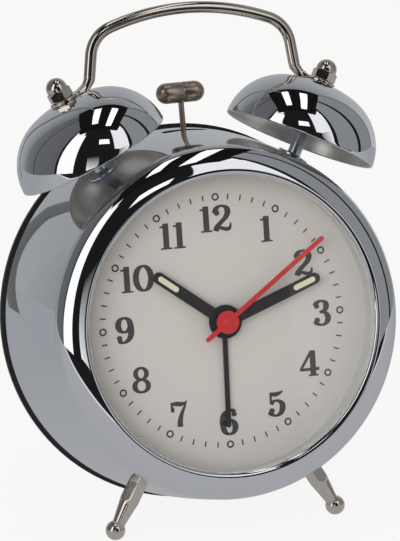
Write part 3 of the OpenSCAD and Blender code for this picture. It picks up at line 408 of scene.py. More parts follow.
def wall_radius(s, z, inset=0.0):
    """Radius of the case wall at height z: one arc through the front and rear edges with a given swell."""
    r0, r1, z0, z1, b = s["case_front_r"], s["case_rear_r"], s["case_front"], -s["case_rear"], s["case_bulge"]
    half = math.hypot(r1 - r0, z0 - z1) / 2
    radius = (half * half + b * b) / (2 * b)
    out = np.array([z0 - z1, r1 - r0]) / (2 * half)
    centre = np.array([(r0 + r1) / 2, (z0 + z1) / 2]) - out * (radius - b)
    return centre[0] + np.sqrt((radius - inset) ** 2 - (np.asarray(z, float) - centre[1]) ** 2)


def crown_radius(s):
    """Radius of a bell's crown: the arc about the axis that meets the side's arc without a kink."""
    r1, x, top = s["bell_side_r"], s["bell_r"] - s["bell_side_r"], s["bell_dome"]
    return (r1 * r1 - x * x - top * top) / (2 * (r1 - top))


def bell_height(s):
    """Height of the flat on a bell's crown above its rim."""
    r2 = crown_radius(s)
    return s["bell_dome"] - r2 + math.sqrt(r2 * r2 - s["bell_flat_r"] ** 2)


def bell_profile(s):
    """Outer and inner arcs of a bell's section, from the hole in the crown round the rim and back."""
    r1, wall, flat, hole = s["bell_side_r"], s["bell_wall"], s["bell_flat_r"], s["bell_hole_r"]
    x, r2, h = s["bell_r"] - r1, crown_radius(s), bell_height(s)
    join = math.degrees(math.atan2(r2 - s["bell_dome"], x))
    crown, lip, level = (0.0, s["bell_dome"] - r2), wall / 2, flat * 0.6
    inner_r1, inner_r2 = r1 - wall, r2 - wall
    return np.concatenate([
        [[hole, h], [level, h]],
        arc(crown, r2, math.degrees(math.acos(flat / r2)), join, 40),
        arc((x, 0), r1, join, math.degrees(math.asin(lip / r1)), 40)[1:],
        arc((s["bell_r"] - lip, lip), lip, 0, -180, 10)[1:-1],
        arc((x, 0), inner_r1, math.degrees(math.asin(lip / inner_r1)), join, 36),
        arc(crown, inner_r2, join, math.degrees(math.acos(flat / inner_r2)), 36)[1:],
        [[level, h - wall], [hole, h - wall]],
    ])


def between(start, end, count):
    """Points at even steps on a straight line."""
    return start + np.linspace(0, 1, count)[:, None] * (end - start)


def handle_path(s):
    """Half of the handle's middle line: tab, foot bend, leg, corner bend and arch to the middle."""
    tilt, lean, bend_r, arch_r = s["bell_tilt"], s["handle_lean"], s["handle_bend_r"], s["handle_arch_r"]
    leg_lift, tab_short = 0.15, 0.02
    axis = np.array([math.sin(tilt), math.cos(tilt)])
    along = np.array([math.cos(tilt), -math.sin(tilt)])
    seat = np.array([s["bell_x"], s["bell_y"]]) + bell_height(s) * axis
    foot = seat - s["tab_len"] * along + (s["rod_r"] + leg_lift) * axis
    # The leg runs up to where a corner bend touches both it and the arch.
    leg = np.array([-math.sin(lean), math.cos(lean)])
    inward = np.array([-math.cos(lean), -math.sin(lean)])
    arch = np.array([0.0, s["handle_top"] - arch_r])
    start = foot + bend_r * inward - arch
    b = start @ leg
    leg_end = foot + (-b + math.sqrt(b * b - start @ start + (arch_r - bend_r) ** 2)) * leg
    bend = leg_end + bend_r * inward
    top = math.degrees(math.atan2(bend[1] - arch[1], bend[0]))
    # The tab's line and the leg's line meet at a corner, which the foot bend rounds off.
    tab = seat + s["tab_t"] / 2 * axis
    corner = tab - np.linalg.solve(np.stack([-along, -leg], 1), foot - tab)[0] * along
    small, turn = s["handle_foot_r"], math.acos(float(-along @ leg))
    back = small * math.tan(turn / 2)
    bend_start = corner + back * along
    way = np.sign(along[1] * leg[0] - along[0] * leg[1])
    centre = bend_start - small * way * np.array([along[1], -along[0]])
    first = math.degrees(math.atan2(*(bend_start - centre)[::-1]))
    line = np.concatenate([
        between(tab + (s["tab_r"] - tab_short) * along, bend_start, 26),
        arc(centre, small, first, first + math.degrees(turn) * way, 10)[1:],
        between(corner + back * leg, leg_end, 12)[1:],
        arc(bend, bend_r, math.degrees(lean), top, 30)[1:],
        arc(arch, arch_r, top, 90, 16)[1:],
    ])
    return line, seat, along


def handle_surface(s):
    """A section carried along the handle's line: round on the rod, flattened to a tab at both ends.

    The section is a superellipse: its width and thickness, times the cosine and sine to a power that falls from 1
    on the rod to 0.4 on the tab.
    """
    flat_until, tab_rows, section, corner, strip_share, slack = 5.0, 60, 40, 6, 1.3, 0.07
    rod = s["rod_r"] - slack
    half, seat, along = handle_path(s)
    line = np.concatenate([half, (half * [-1, 1])[::-1][1:]])
    step = np.gradient(line, axis=0)
    step /= np.linalg.norm(step, axis=1)[:, None]
    normal = np.stack([step[:, 1], -step[:, 0]], 1)
    from_nut = (np.column_stack([np.abs(line[:, 0]), line[:, 1]]) - seat) @ along
    row = np.arange(len(line))
    on_tab = np.minimum(row, len(line) - 1 - row) < tab_rows
    blend = np.clip((-from_nut - flat_until) / (s["tab_len"] - flat_until - 1), 0, 1)
    blend = np.where(on_tab, blend * blend * (3 - 2 * blend), 1.0)
    eye = np.sqrt(np.clip(s["tab_r"] ** 2 - from_nut**2, 1e-6, None))
    strip = np.where(from_nut < 0, strip_share * s["rod_r"], 0.0)
    wide = (eye**corner + strip**corner) ** (1 / corner) * (1 - blend) + rod * blend
    thick = s["tab_t"] / 2 * (1 - blend) + rod * blend
    power = 2.0 / (2.0 + 3.0 * (1 - blend))
    across, through = (
        np.sign(wave) * np.abs(wave) ** power[:, None] * size[:, None]
        for wave, size in ((np.cos(turns(section)), wide), (np.sin(turns(section)), thick))
    )
    # The tab's underside stays on the bell's crown, which falls away from the nut.
    sag = np.clip(from_nut**2 - s["bell_flat_r"] ** 2, 0, None) / (2 * crown_radius(s))
    through = np.maximum(through, -np.where(on_tab, s["tab_t"] / 2 + sag, np.inf)[:, None])
    flat = line[:, None, :] + through[:, :, None] * normal[:, None, :]
    return capped(np.concatenate([flat, (-s["bell_back"] + across)[:, :, None]], 2))


# Numerals: strokes with thick uprights and thin crossings, ball ends and slab feet.

THIN, THICK = 0.088, 0.21
UPRIGHT, SLAB, CONTRAST = 0.205, 0.064, 1.6
PRINT = 0.05
NUDGE = {3: (0.9, -0.4), 11: (0.85, 0.95), 12: (-0.4, 1.0)}


def spline(control, count=60):
    """A smooth line through control points: Catmull-Rom, computed for all steps at once."""
    p = np.asarray(control, float)
    p = np.concatenate([2 * p[:1] - p[1:2], p, 2 * p[-1:] - p[-2:-1]])
    t = np.linspace(0, len(p) - 3 - 1e-9, count)
    i = t.astype(int)
    u = (t - i)[:, None]
    a, b, c, d = p[i], p[i + 1], p[i + 2], p[i + 3]
    return 0.5 * (2 * b + (c - a) * u + (2 * a - 5 * b + 4 * c - d) * u**2 + (3 * b - a - 3 * c + d) * u**3)


def ribbon(line, width):
    """Left and right edges of a line of given width."""
    step = np.gradient(line, axis=0)
    step /= np.maximum(np.linalg.norm(step, axis=1), 1e-9)[:, None]
    side = np.stack([-step[:, 1], step[:, 0]], 1) * (np.asarray(width) / 2)[:, None]
    return np.stack([line + side, line - side], 1)


def swelling(line, rise, run, thick):
    """A stroke whose width grows with how upright it runs."""
    upright = np.abs(rise) / np.maximum(np.hypot(run, rise), 1e-9)
    return ribbon(line, THIN + (thick - THIN) * upright**CONTRAST)


def brush(control, count=60):
    """A swelling stroke through control points."""
    line = spline(control, count)
    step = np.gradient(line, axis=0)
    return swelling(line, step[:, 1], step[:, 0], THICK)


def ring(cx, cy, rx, ry, thick=THICK):
    """A closed oval stroke."""
    a = np.linspace(0, 2 * np.pi, 73)
    line = np.stack([cx + rx * np.cos(a), cy + ry * np.sin(a)], 1)
    return swelling(line, ry * np.cos(a), rx * np.sin(a), thick)


def stroke(control, widths):
    """A stroke with its own width at each control point."""
    full = spline(np.column_stack([np.asarray(control, float), widths]), 40)
    return ribbon(full[:, :2], full[:, 2])


def ball(cx, cy, r):
    """A filled disc as a ribbon of chords."""
    x = r * np.cos(np.linspace(np.pi, 0, 25))
    y = np.sqrt(np.clip(r * r - x * x, 0, None))
    return np.stack([np.stack([cx + x, cy + y], 1), np.stack([cx + x, cy - y], 1)], 1)


def bar(x0, y0, x1, y1, width):
    """A straight stroke of even width."""
    return ribbon(np.array([[x0, y0], [x1, y1]], float), np.array([width, width]))


def digits():
    """Width and strokes of each digit, in a box one unit high."""
    six = [
        brush([(0.56, 0.86), (0.46, 0.96), (0.33, 0.95), (0.19, 0.83), (0.12, 0.62), (0.12, 0.38), (0.18, 0.14),
               (0.34, 0.04), (0.50, 0.12), (0.56, 0.32), (0.50, 0.50), (0.36, 0.575), (0.22, 0.52), (0.14, 0.40)], 90),
        ball(0.535, 0.79, 0.095),
    ]
    return {
        "0": (0.72, [ring(0.36, 0.5, 0.265, 0.46)]),
        "1": (0.46, [
            bar(0.25, 0.02, 0.25, 0.985, UPRIGHT),
            stroke([(0.25, 0.93), (0.16, 0.865), (0.04, 0.85)], [0.13, 0.09, 0.06]),
            bar(0.05, SLAB / 2, 0.45, SLAB / 2, SLAB),
        ]),
        "2": (0.68, [
            brush([(0.12, 0.70), (0.13, 0.82), (0.22, 0.93), (0.36, 0.96), (0.51, 0.88), (0.55, 0.71), (0.47, 0.52),
                   (0.30, 0.34), (0.16, 0.18), (0.10, 0.02)], 80),
            ball(0.165, 0.70, 0.10),
            stroke([(0.10, 0.02), (0.17, 0.11), (0.29, 0.125), (0.44, 0.075), (0.56, 0.075), (0.62, 0.17),
                    (0.64, 0.30)], [0.05, 0.10, 0.13, 0.15, 0.14, 0.09, 0.05]),
        ]),
        "3": (0.66, [
            brush([(0.12, 0.78), (0.16, 0.89), (0.30, 0.96), (0.46, 0.90), (0.50, 0.75), (0.43, 0.60), (0.26, 0.53)]),
            brush([(0.26, 0.53), (0.44, 0.50), (0.54, 0.36), (0.53, 0.20), (0.44, 0.08), (0.30, 0.04), (0.15, 0.10),
                   (0.10, 0.22)]),
            ball(0.155, 0.77, 0.095),
            ball(0.15, 0.235, 0.10),
        ]),
        "4": (0.74, [
            bar(0.50, 0.02, 0.50, 0.985, UPRIGHT),
            stroke([(0.46, 0.97), (0.26, 0.62), (0.06, 0.28)], [0.10, 0.10, 0.10]),
            bar(0.02, 0.265, 0.70, 0.265, 0.115),
            bar(0.33, SLAB / 2, 0.68, SLAB / 2, SLAB),
            bar(0.69, 0.21, 0.69, 0.34, 0.06),
        ]),
        "5": (0.66, [
            stroke([(0.11, 0.885), (0.34, 0.86), (0.58, 0.96)], [0.13, 0.17, 0.05]),
            bar(0.135, 0.94, 0.135, 0.49, 0.08),
            brush([(0.13, 0.50), (0.24, 0.60), (0.38, 0.61), (0.52, 0.50), (0.54, 0.32), (0.47, 0.13), (0.32, 0.04),
                   (0.15, 0.10), (0.10, 0.22)], 70),
            ball(0.155, 0.24, 0.10),
        ]),
        "6": (0.68, six),
        "7": (0.66, [
            bar(0.07, 0.95, 0.07, 0.58, 0.075),
            stroke([(0.07, 0.80), (0.13, 0.70), (0.10, 0.57)], [0.05, 0.06, 0.09]),
            stroke([(0.07, 0.86), (0.22, 0.885), (0.40, 0.86), (0.57, 0.90)], [0.08, 0.17, 0.17, 0.07]),
            stroke([(0.59, 0.985), (0.53, 0.78), (0.41, 0.50), (0.34, 0.22), (0.33, 0.0)],
                   [0.05, 0.08, 0.13, 0.18, 0.20]),
        ]),
        "8": (0.68, [ring(0.345, 0.745, 0.19, 0.215, 0.165), ring(0.34, 0.275, 0.235, 0.235, 0.18)]),
        "9": (0.68, [np.array([0.68, 1.0]) - part for part in six]),
    }


def printed(strip, height):
    """A flat strip of left and right edges made into a thin closed slab of that height above the dial."""
    corners = strip[:, [0, 0, 1, 1]]
    levels = np.broadcast_to(np.array([0, height, height, 0])[None, :, None], (len(strip), 4, 1))
    return capped(np.concatenate([corners, levels], 2))


def numeral(hour, shapes, s):
    """All strokes of an hour's numeral, centred on its place on the dial. Each lies a little above the last."""
    scale, gap, layer = np.array([1.13, 1.0]) * s["numeral_h"], 0.01, 0.003
    pair_out, single_out = -0.5, 0.25
    drawn = [shapes[c] for c in str(hour)]
    turn = math.radians(hour * 30)
    r = s["numeral_r"] + (pair_out if len(drawn) > 1 else single_out)
    centre = np.array([r * math.sin(turn), r * math.cos(turn)]) + NUDGE.get(hour, (0, 0))
    x = -(sum(width for width, _ in drawn) + gap * (len(drawn) - 1)) / 2
    parts = []
    for width, strokes in drawn:
        for strip in strokes:
            level = PRINT + layer * (len(parts) + 1)
            parts.append((printed(centre + (strip + [x, -0.5]) * scale, level), False, True))
        x += width + gap
    return parts


# Operators: one for each piece or group of like pieces, and one for the stage.


class CLOCK_OT_finishes(bpy.types.Operator):
    """Give every solid of the clock its finish"""

    bl_idname = "clock.finishes"
    bl_label = "Finishes"

    def execute(self, context):
        for sub in FRAME["record"]["subparts"]:
            mesh = FRAME["nodes"][sub["node"]].data
            mesh.materials.clear()
            mesh.materials.append(finish(sub["material_slot"]))
        return {"FINISHED"}


class CLOCK_OT_case(bpy.types.Operator):
    """Case wall: a swelling arc turned round the clock's axis, with a slot at the top for the hammer"""

    bl_idname = "clock.case"
    bl_label = "Case wall"

    def execute(self, context):
        s = sizes()
        slot_z, slot_side = pivot_of("hammer_swing")[2], s["slot_w"] / 2
        slot_turn = math.degrees(math.asin(s["slot_half"] / float(wall_radius(s, slot_z))))
        turn = np.union1d(np.linspace(-180, 180, 241)[:-1], [-slot_turn, slot_turn])
        z = np.union1d(np.linspace(s["case_front"], -s["case_rear"], 57), [slot_z - slot_side, slot_z + slot_side])
        n, m = len(turn), len(z)
        a = np.radians(90 - turn)[:, None]
        skins = []
        for inset in (0.0, s["case_wall"]):
            r = wall_radius(s, z, inset)
            skins.append(np.stack([r * np.cos(a), r * np.sin(a), np.broadcast_to(z, (n, m))], 2))
        mid_turn = (turn + np.append(turn[1:], turn[0] + 360)) / 2
        mid_z = (z[1:] + z[:-1]) / 2
        there = (np.abs(mid_turn)[:, None] >= slot_turn) | (np.abs(mid_z - slot_z)[None, :] >= slot_side)

        def number(i, j):
            return i % n * m + j

        # Both skins, and a wall between them along each edge that has a face on one side only.
        i, j = np.nonzero(there)
        outer = np.stack([number(i, j), number(i + 1, j), number(i + 1, j + 1), number(i, j + 1)], 1)
        padded = np.pad(there, ((0, 0), (1, 1)))
        i, j = np.nonzero(padded[:, 1:] != padded[:, :-1])
        round_edges = np.stack([number(i, j), number(i + 1, j)], 1)
        i, j = np.nonzero(there != np.roll(there, 1, 0))
        edges = np.concatenate([round_edges, np.stack([number(i, j), number(i, j + 1)], 1)])
        faces = [outer, outer[:, ::-1] + n * m, np.hstack([edges, edges[:, ::-1] + n * m])]
        make_piece("case_wall", [(np.stack(skins), np.concatenate(faces))], "chrome", ["case_shell"])
        return {"FINISHED"}


class CLOCK_OT_bezel(bpy.types.Operator):
    """Bezel: a broad slope from the case to a tight curl at the inner edge, and a skirt in the case"""

    bl_idname = "clock.bezel"
    bl_label = "Bezel"

    def execute(self, context):
        s = sizes()
        t, front, outer = s["bezel_t"], s["case_front"], s["case_front_r"]
        inner, glass = outer - s["roll_r"] - s["fold_r"], front + s["glass_rise"]
        skirt_gap, skirt_lip, back, crest_slack, edge_lift, edge_turn = 0.1, 2.0, -3.0, 0.03, 0.25, 0.2
        skirt = outer - s["case_wall"] - skirt_gap
        # A broad slope faces outward up to a tight curl at the inner edge, which turns down to the glass. The radii
        # of the slope and of the outer edge are those that end it upright at the case's front edge.
        curl, tip, knee = 1.5, 76.0, 45.0
        way = {d: np.array([math.cos(math.radians(d)), math.sin(math.radians(d))]) for d in (0.0, knee, tip)}
        curl_mid = np.array([inner + curl, front + s["crest_rise"] - crest_slack - curl])
        run = np.array([outer, front + edge_lift]) - curl_mid - curl * way[tip]
        broad, edge = np.linalg.solve(np.stack([way[knee] - way[tip], way[0.0] - way[knee]], 1), run)
        broad_mid = curl_mid + (curl - broad) * way[tip]
        edge_mid = broad_mid + (broad - edge) * way[knee]
        fold = math.degrees(math.acos((skirt - t - edge_mid[0]) / (edge - t)))
        lip = skirt - t - skirt_lip
        profile = np.concatenate([
            [[inner, glass]], arc(curl_mid, curl, 180, tip, 32), arc(broad_mid, broad, tip, knee, 48)[1:],
            arc(edge_mid, edge, knee, 0, 32)[1:], [[outer - edge_turn, front]],
            [[skirt, front], [skirt, back - t], [lip, back - t], [lip, back], [skirt - t, back]],
            arc(edge_mid, edge - t, fold, knee, 12), arc(broad_mid, broad - t, knee, tip, 24)[1:],
            arc(curl_mid, curl - t, tip, 180, 12)[1:], [[inner + t, glass]],
        ])
        make_piece("bezel_ring", [(turned(profile, count=300), True, True)], "chrome", ["bezel"])
        return {"FINISHED"}


class CLOCK_OT_bells(bpy.types.Operator):
    """Bells: two tangent arcs turned round each bell's axis"""

    bl_idname = "clock.bells"
    bl_label = "Bells"

    def execute(self, context):
        s = sizes()
        above_rim = 3
        for side, name in SIDES:
            origin, axis, start = bell_frame(s, side)
            points = turned(bell_profile(s), origin, axis, start, 220)
            bell = make_piece(f"bell_dome_{name}", [(points, True, True)], "chrome", [f"bell_{name}"],
                              look="bell_chrome").data
            # The faces that look at the bell's middle carry its warmer, rougher inside, whose lighter colour is painted
            # light in the shade there.
            middle, facing = np.empty(len(bell.polygons) * 3), np.empty(len(bell.polygons) * 3)
            bell.polygons.foreach_get("center", middle)
            bell.polygons.foreach_get("normal", facing)
            out = middle.reshape(-1, 3) - place(origin + above_rim * axis)
            inside = (out * facing.reshape(-1, 3)).sum(1) < 0
            bell.attributes.new("inside", "FLOAT", "FACE").data.foreach_set("value", inside.astype(np.float32))
        return {"FINISHED"}


class CLOCK_OT_posts(bpy.types.Operator):
    """Bell posts: a rod with a flange whose foot follows the case"""

    bl_idname = "clock.posts"
    bl_label = "Bell posts"

    def execute(self, context):
        s = sizes()
        edge, fillet, around, t = 0.2, 0.3, 96, s["flange_t"]
        ceiling = bell_height(s) - s["bell_wall"]
        base = math.hypot(s["bell_x"], s["bell_y"]) - float(wall_radius(s, -s["bell_back"]))
        flange, rod = s["flange_r"], s["post_r"]
        radii = np.array([flange, flange, flange - edge, rod + fillet, rod])
        lift = np.array([0.0, t - edge, t, t, t + fillet])
        for side, name in SIDES:
            where = bell_frame(s, side)
            low = turned(np.stack([radii, lift - base], 1), *where, around)
            # The flange slides along the post until each of its rings has its own lift above the case.
            for _ in range(6):
                gap = np.hypot(low[..., 0], low[..., 1]) - wall_radius(s, low[..., 2]) - lift
                low = low - gap[..., None] * where[1]
            high = turned([[rod, ceiling], [0, ceiling]], *where, around)
            middle = np.repeat(low[:, :1].mean(0, keepdims=True), around, 0)
            points = np.concatenate([middle, low, high], 1)
            make_piece(f"post_{name}", [(points, True, False)], "zinc_steel", [f"bell_post_{name}"])
        return {"FINISHED"}


class CLOCK_OT_handle(bpy.types.Operator):
    """Handle: a rod bent in an arch with its ends flattened under the cap nuts"""

    bl_idname = "clock.handle"
    bl_label = "Handle"

    def execute(self, context):
        make_piece("handle_rod", [(handle_surface(sizes()), False, True)], "warm_nickel", ["handle"])
        return {"FINISHED"}


class CLOCK_OT_cap_nuts(bpy.types.Operator):
    """Cap nuts: a hexagon cut by a cone at both ends, under a round dome"""

    bl_idname = "clock.cap_nuts"
    bl_label = "Cap nuts"

    def execute(self, context):
        s = sizes()
        chamfer, neck, flat_share, slant, r = 0.6, 0.6, 0.97, 1.73, s["cap_dome_r"]
        foot = bell_height(s) + s["tab_t"]
        top = foot + s["cap_hex_h"]
        rise = np.linspace(0, chamfer, 6)
        dome = np.radians(np.linspace(0, 90, 24))
        cut = np.concatenate([foot + rise, top - rise[::-1]])
        height = np.concatenate([[foot], cut, [top, top + neck], top + neck + r * np.sin(dome)])
        cone = s["cap_hex"] / 2 * flat_share + slant * np.minimum(cut - foot, top - cut)
        hexed = np.minimum(hexagon(turns(96), s["cap_hex"])[:, None], cone)
        plain = np.tile(np.concatenate([[0, r, r], r * np.cos(dome)]), (96, 1))
        radius = np.hstack([plain[:, :1], hexed, plain[:, 1:]])
        parts = [(swept(radius, height, *bell_frame(s, side)), True, False) for side, _ in SIDES]
        make_piece("cap_nut_pair", parts, "warm_nickel", ["cap_nuts"])
        return {"FINISHED"}


class CLOCK_OT_feet(bpy.types.Operator):
    """Feet: a hexagon cut by a cone below, a taper and a ball"""

    bl_idname = "clock.feet"
    bl_label = "Feet"

    def execute(self, context):
        s = sizes()
        sunk, r, wide, neck = 0.7, s["foot_ball_r"], s["foot_taper_r"], s["foot_neck_r"]
        case = float(wall_radius(s, -s["foot_back"]))
        end = case + s["foot_hex_len"]
        meet = math.asin(neck / r)
        round_off = np.linspace(math.pi - meet, 0, 30)
        cut = np.append(case - sunk, end - np.linspace(s["foot_chamfer"], 0, 6))
        taper = np.linspace(end, s["foot_reach"] - r * math.cos(meet), 10)
        height = np.concatenate([[case - sunk], cut, [end], taper, s["foot_reach"] + r * np.cos(round_off)])
        cone = wide + (s["foot_hex"] / math.sqrt(3) - wide) / s["foot_chamfer"] * (end - cut)
        hexed = np.minimum(hexagon(turns(96) - s["foot_turn"], s["foot_hex"])[:, None], cone)
        plain = np.tile(np.concatenate([[0, wide], np.linspace(wide, neck, 10), r * np.sin(round_off)]), (96, 1))
        radius = np.hstack([plain[:, :1], hexed, plain[:, 1:]])
        for side, name in SIDES:
            axis = np.array([side * math.sin(s["foot_angle"]), -math.cos(s["foot_angle"]), 0.0])
            points = swept(radius, height, (0, 0, -s["foot_back"]), axis, (0, 0, 1))
            make_piece(f"ball_foot_{name}", [(points, True, False)], "warm_nickel", [f"foot_{name}"])
        return {"FINISHED"}


class CLOCK_OT_hammer(bpy.types.Operator):
    """Hammer: a capsule with a turned groove on a thin stem"""

    bl_idname = "clock.hammer"
    bl_label = "Hammer"

    def execute(self, context):
        s = sizes()
        pivot, lean, r = pivot_of("hammer_swing"), s["hammer_lean"], s["head_r"]
        up = np.array([-math.sin(lean), math.cos(lean), 0.0])
        across = np.array([math.cos(lean), math.sin(lean), 0.0])
        half = s["head_len"] / 2 - r
        groove, groove_half, deep, shoulder, from_pivot, into_head = 0.8, 0.25, 0.35, 0.05, 3.6, 1.5
        reach = groove_half + np.array([0.1, 0.0, -0.08])
        cut = np.array([r, r - shoulder, r - deep])
        profile = np.concatenate([
            arc((0, -half), r, -90, 0, 24),
            np.stack([cut, groove - reach], 1), np.stack([cut, groove + reach], 1)[::-1],
            arc((0, half), r, 0, 90, 24),
        ])
        head = turned(profile, pivot + s["hammer_reach"] * up, across, (0, 0, 1), 96)
        make_piece("hammer_knocker", [(head, True, False)], "warm_nickel", ["hammer_head"], "hammer", "hammer_brown")
        low, high = from_pivot, s["hammer_reach"] - r + into_head
        stem = turned([[0, low], [s["stem_r"], low], [s["stem_r"], high], [0, high]], pivot, up, (0, 0, 1), 48)
        make_piece("hammer_wire", [(stem, True, False)], "warm_nickel", ["hammer_stem"], "hammer", "hammer_brown")
        return {"FINISHED"}


class CLOCK_OT_knobs(bpy.types.Operator):
    """Setting knobs: a round rim with rounded edges, less a flute of rounded section at even turns"""

    bl_idname = "clock.knobs"
    bl_label = "Setting knobs"

    def execute(self, context):
        s = sizes()
        cover, gap, soft = 1.8, 0.6, 0.6
        flutes, flute_deep, flute_narrow, flute_round = 16, 0.5, 5, 0.6
        front = -(s["case_rear"] + cover + gap)
        end = front - s["knob_h"]
        edge = np.radians(np.linspace(0, 90, 6))[1:]
        height = np.concatenate([[front, front], front - soft + soft * np.cos(edge), [end + soft],
                                 end + soft - soft * np.sin(edge), [end]])
        inset = np.concatenate([[soft], soft - soft * np.sin(edge), [0], soft - soft * np.cos(edge)])
        aside = np.abs((turns(320) * flutes / (2 * np.pi) + 0.5) % 1 - 0.5)
        flute = flute_deep * np.clip(1 - aside * flute_narrow, 0, 1) ** flute_round
        radius = np.pad(s["knob_r"] - flute[:, None] - inset, ((0, 0), (1, 1)))
        for node, body in (("time_knob", "time_setter"), ("alarm_knob", "alarm_setter")):
            at = pivot_of(f"{body}_turn")
            points = swept(radius, height, (at[0], at[1], 0))
            make_piece(f"{node}_grip", [(points, True, False)], "black_plastic", [node], body, sharp=40)
        return {"FINISHED"}


class CLOCK_OT_dial_print(bpy.types.Operator):
    """Dial print: upright numerals, a small ring at each hour and a tick at each minute between"""

    bl_idname = "clock.dial_print"
    bl_label = "Dial print"

    def execute(self, context):
        s = sizes()
        ring_in, ring_out, tick_half, tick_w = 0.68, 1.2, 0.9, 0.42
        mark = [[ring_in, 0], [ring_out, 0], [ring_out, PRINT], [ring_in, PRINT]]
        shapes, parts = digits(), []
        for hour in range(1, 13):
            parts += numeral(hour, shapes, s)
        for minute in range(60):
            turn = math.radians(minute * 6)
            way = np.array([math.sin(turn), math.cos(turn)])
            if minute % 5 == 0:
                parts.append((turned(mark, (*way * s["track_r"], 0), count=36), True, True))
                continue
            tick = bar(*way * (s["track_r"] - tick_half), *way * (s["track_r"] + tick_half), tick_w)
            parts.append((printed(tick, PRINT), False, True))
        make_piece("dial_numerals", parts, "black_hand", look="dial_ink")
        return {"FINISHED"}


class CLOCK_OT_dial_slope(bpy.types.Operator):
    """Sloped ring: a pale ring that leads from the dial's edge up to the glass, turned round the clock's axis"""

    bl_idname = "clock.dial_slope"
    bl_label = "Sloped ring"

    def execute(self, context):
        s = sizes()
        low, lip, wall_gap = 0.02, 0.3, 1.85
        top, outer = s["case_front"] + s["glass_rise"] - s["glass_t"], s["case_front_r"] - wall_gap
        foot = s["slope_foot_r"]
        profile = [[foot, low], [foot, lip], [s["slope_head_r"], top], [outer, top], [outer, low]]
        make_piece("dial_slope", [(turned(profile, count=240), True, True)], "pale_plastic", ["spacer_ring"],
                   look="slope_grey")
        return {"FINISHED"}


class CLOCK_OT_second_cap(bpy.types.Operator):
    """Second hand's cap: a low dome turned round the clock's axis, which closes the hub"""

    bl_idname = "clock.second_cap"
    bl_label = "Second hand's cap"

    def execute(self, context):
        hub = sizes()["second_hub"]
        profile = np.array([[0, -0.02], [1.7, -0.02], [1.7, 0.2], [1.45, 0.4], [0.8, 0.5], [0, 0.52]]) + [0, hub]
        make_piece("second_cap", [(turned(profile, count=64), True, False)], "red_hand", body="second")
        return {"FINISHED"}


# Stage: a square tent of cards round the clock, as its chrome mirrors it.

CAMERA_AZIMUTH = math.radians(-17.97)
AHEAD = np.array([math.sin(CAMERA_AZIMUTH), -math.cos(CAMERA_AZIMUTH), 0.0])
ASIDE = np.array([math.cos(CAMERA_AZIMUTH), math.sin(CAMERA_AZIMUTH), 0.0])
TENT, NEAR, TOP = 0.56, 0.31, 1.27
WHITE, COOL = (1, 1, 1), (0.94, 0.965, 1.0)
DARK = 0.012

# Upright cards: bearings of both edges at the foot and at the head, heights of foot and head, half width of the
# square that the card stands on, brightness at its corners, and tint. The folds are cloth at the tent's rear left
# corner, close to the clock, and the opening is the pale one that the camera looks through.
UPRIGHT_CARDS = {
    "wall_rear": ((135, 226), (135, 229), (0, TOP), TENT, (0.56, 0.40, 0.20, 0.25), COOL),
    "wall_left_rear": ((226, 240), (229, 242), (0, TOP), TENT, (0.39, 0.30, 0.14, 0.2), COOL),
    "wall_left": ((240, 260), (242, 262), (0, TOP), TENT, (0.24, 0.15, 0.10, 0.10), COOL),
    "seam_left": ((260, 261.5), (262, 263.5), (0, TOP), TENT, 0.05, COOL),
    "wall_left_front": ((261.5, 298), (263.5, 305), (0, TOP), TENT, (0.15, 0.13, 0.12, 0.14), COOL),
    "edge_left": ((298, 302), (305, 309), (0, TOP), TENT, 0.01, COOL),
    "front": ((327, 390), (327, 390), (0, TOP), TENT, DARK, COOL),
    "seam_right_front": ((54, 61), (60, 67), (0, TOP), TENT, 0.01, COOL),
    "wall_right_front": ((61, 98), (67, 100), (0, TOP), TENT, 0.28, COOL),
    "seam_right": ((98, 104), (100, 106), (0, TOP), TENT, DARK, COOL),
    "wall_right": ((104, 133), (106, 133), (0, TOP), TENT, 0.26, COOL),
    "seam_rear_right": ((133, 135), (133, 135), (0, TOP), TENT, 0.08, COOL),
    "fold_low": ((225, 228.5), (216, 219.5), (0, 0.155), NEAR, (0.17, 0.12, 0.12, 0.16), COOL),
    "fold_high": ((216, 219.5), (212, 215.5), (0.155, 1.2), NEAR, (0.16, 0.12, 0.2, 0.25), COOL),
    "box_left": ((302, 327), (309, 331), (0, 0.95), TENT, 1.2, WHITE),
    "box_right_low": ((38, 54), (38, 56.5), (0, 0.40), TENT, (0.25, 0.95, 0.95, 0.25), WHITE),
    "box_right": ((30, 56.5), (30, 60), (0.40, 0.95), TENT, 0.95, WHITE),
    "front_right": ((30, 38), (30, 38), (0, 0.40), TENT, DARK, WHITE),
    "opening": ((346, 364), (346, 364), (0.03, 0.27), 0.55, (1.0, 0.7, DARK, DARK), WHITE),
}
# Cards overhead: how far aside their edges are, how far ahead, the heights of both ends, and brightness.
HIGH_CARDS = {
    "roof": ((-0.62, 0.62), (0.62, -0.62), (TOP, TOP), 0.008),
    "tube_left": ((-0.23, -0.08), (0.29, -0.36), (1.26, 1.26), 1.4),
    "tube_right": ((0.15, 0.31), (0.42, -0.34), (1.26, 1.26), 1.4),
    "lamp_front": ((0.02, 0.22), (0.55, 0.55), (0.66, 0.52), 1.3),
}


def tent_point(bearing, height, half):
    """A point of a square tent's wall: bearing in degrees from the camera's side, turning right."""
    c, q = math.cos(math.radians(bearing)), math.sin(math.radians(bearing))
    return (q * ASIDE + c * AHEAD) * half / max(abs(c), abs(q)) + [0, 0, height]


def add_stage(name, mesh, mat):
    """An object of the stage."""
    mesh.materials.append(mat)
    obj = bpy.data.objects.new(name, mesh)
    bpy.context.scene.collection.objects.link(obj)
    return obj


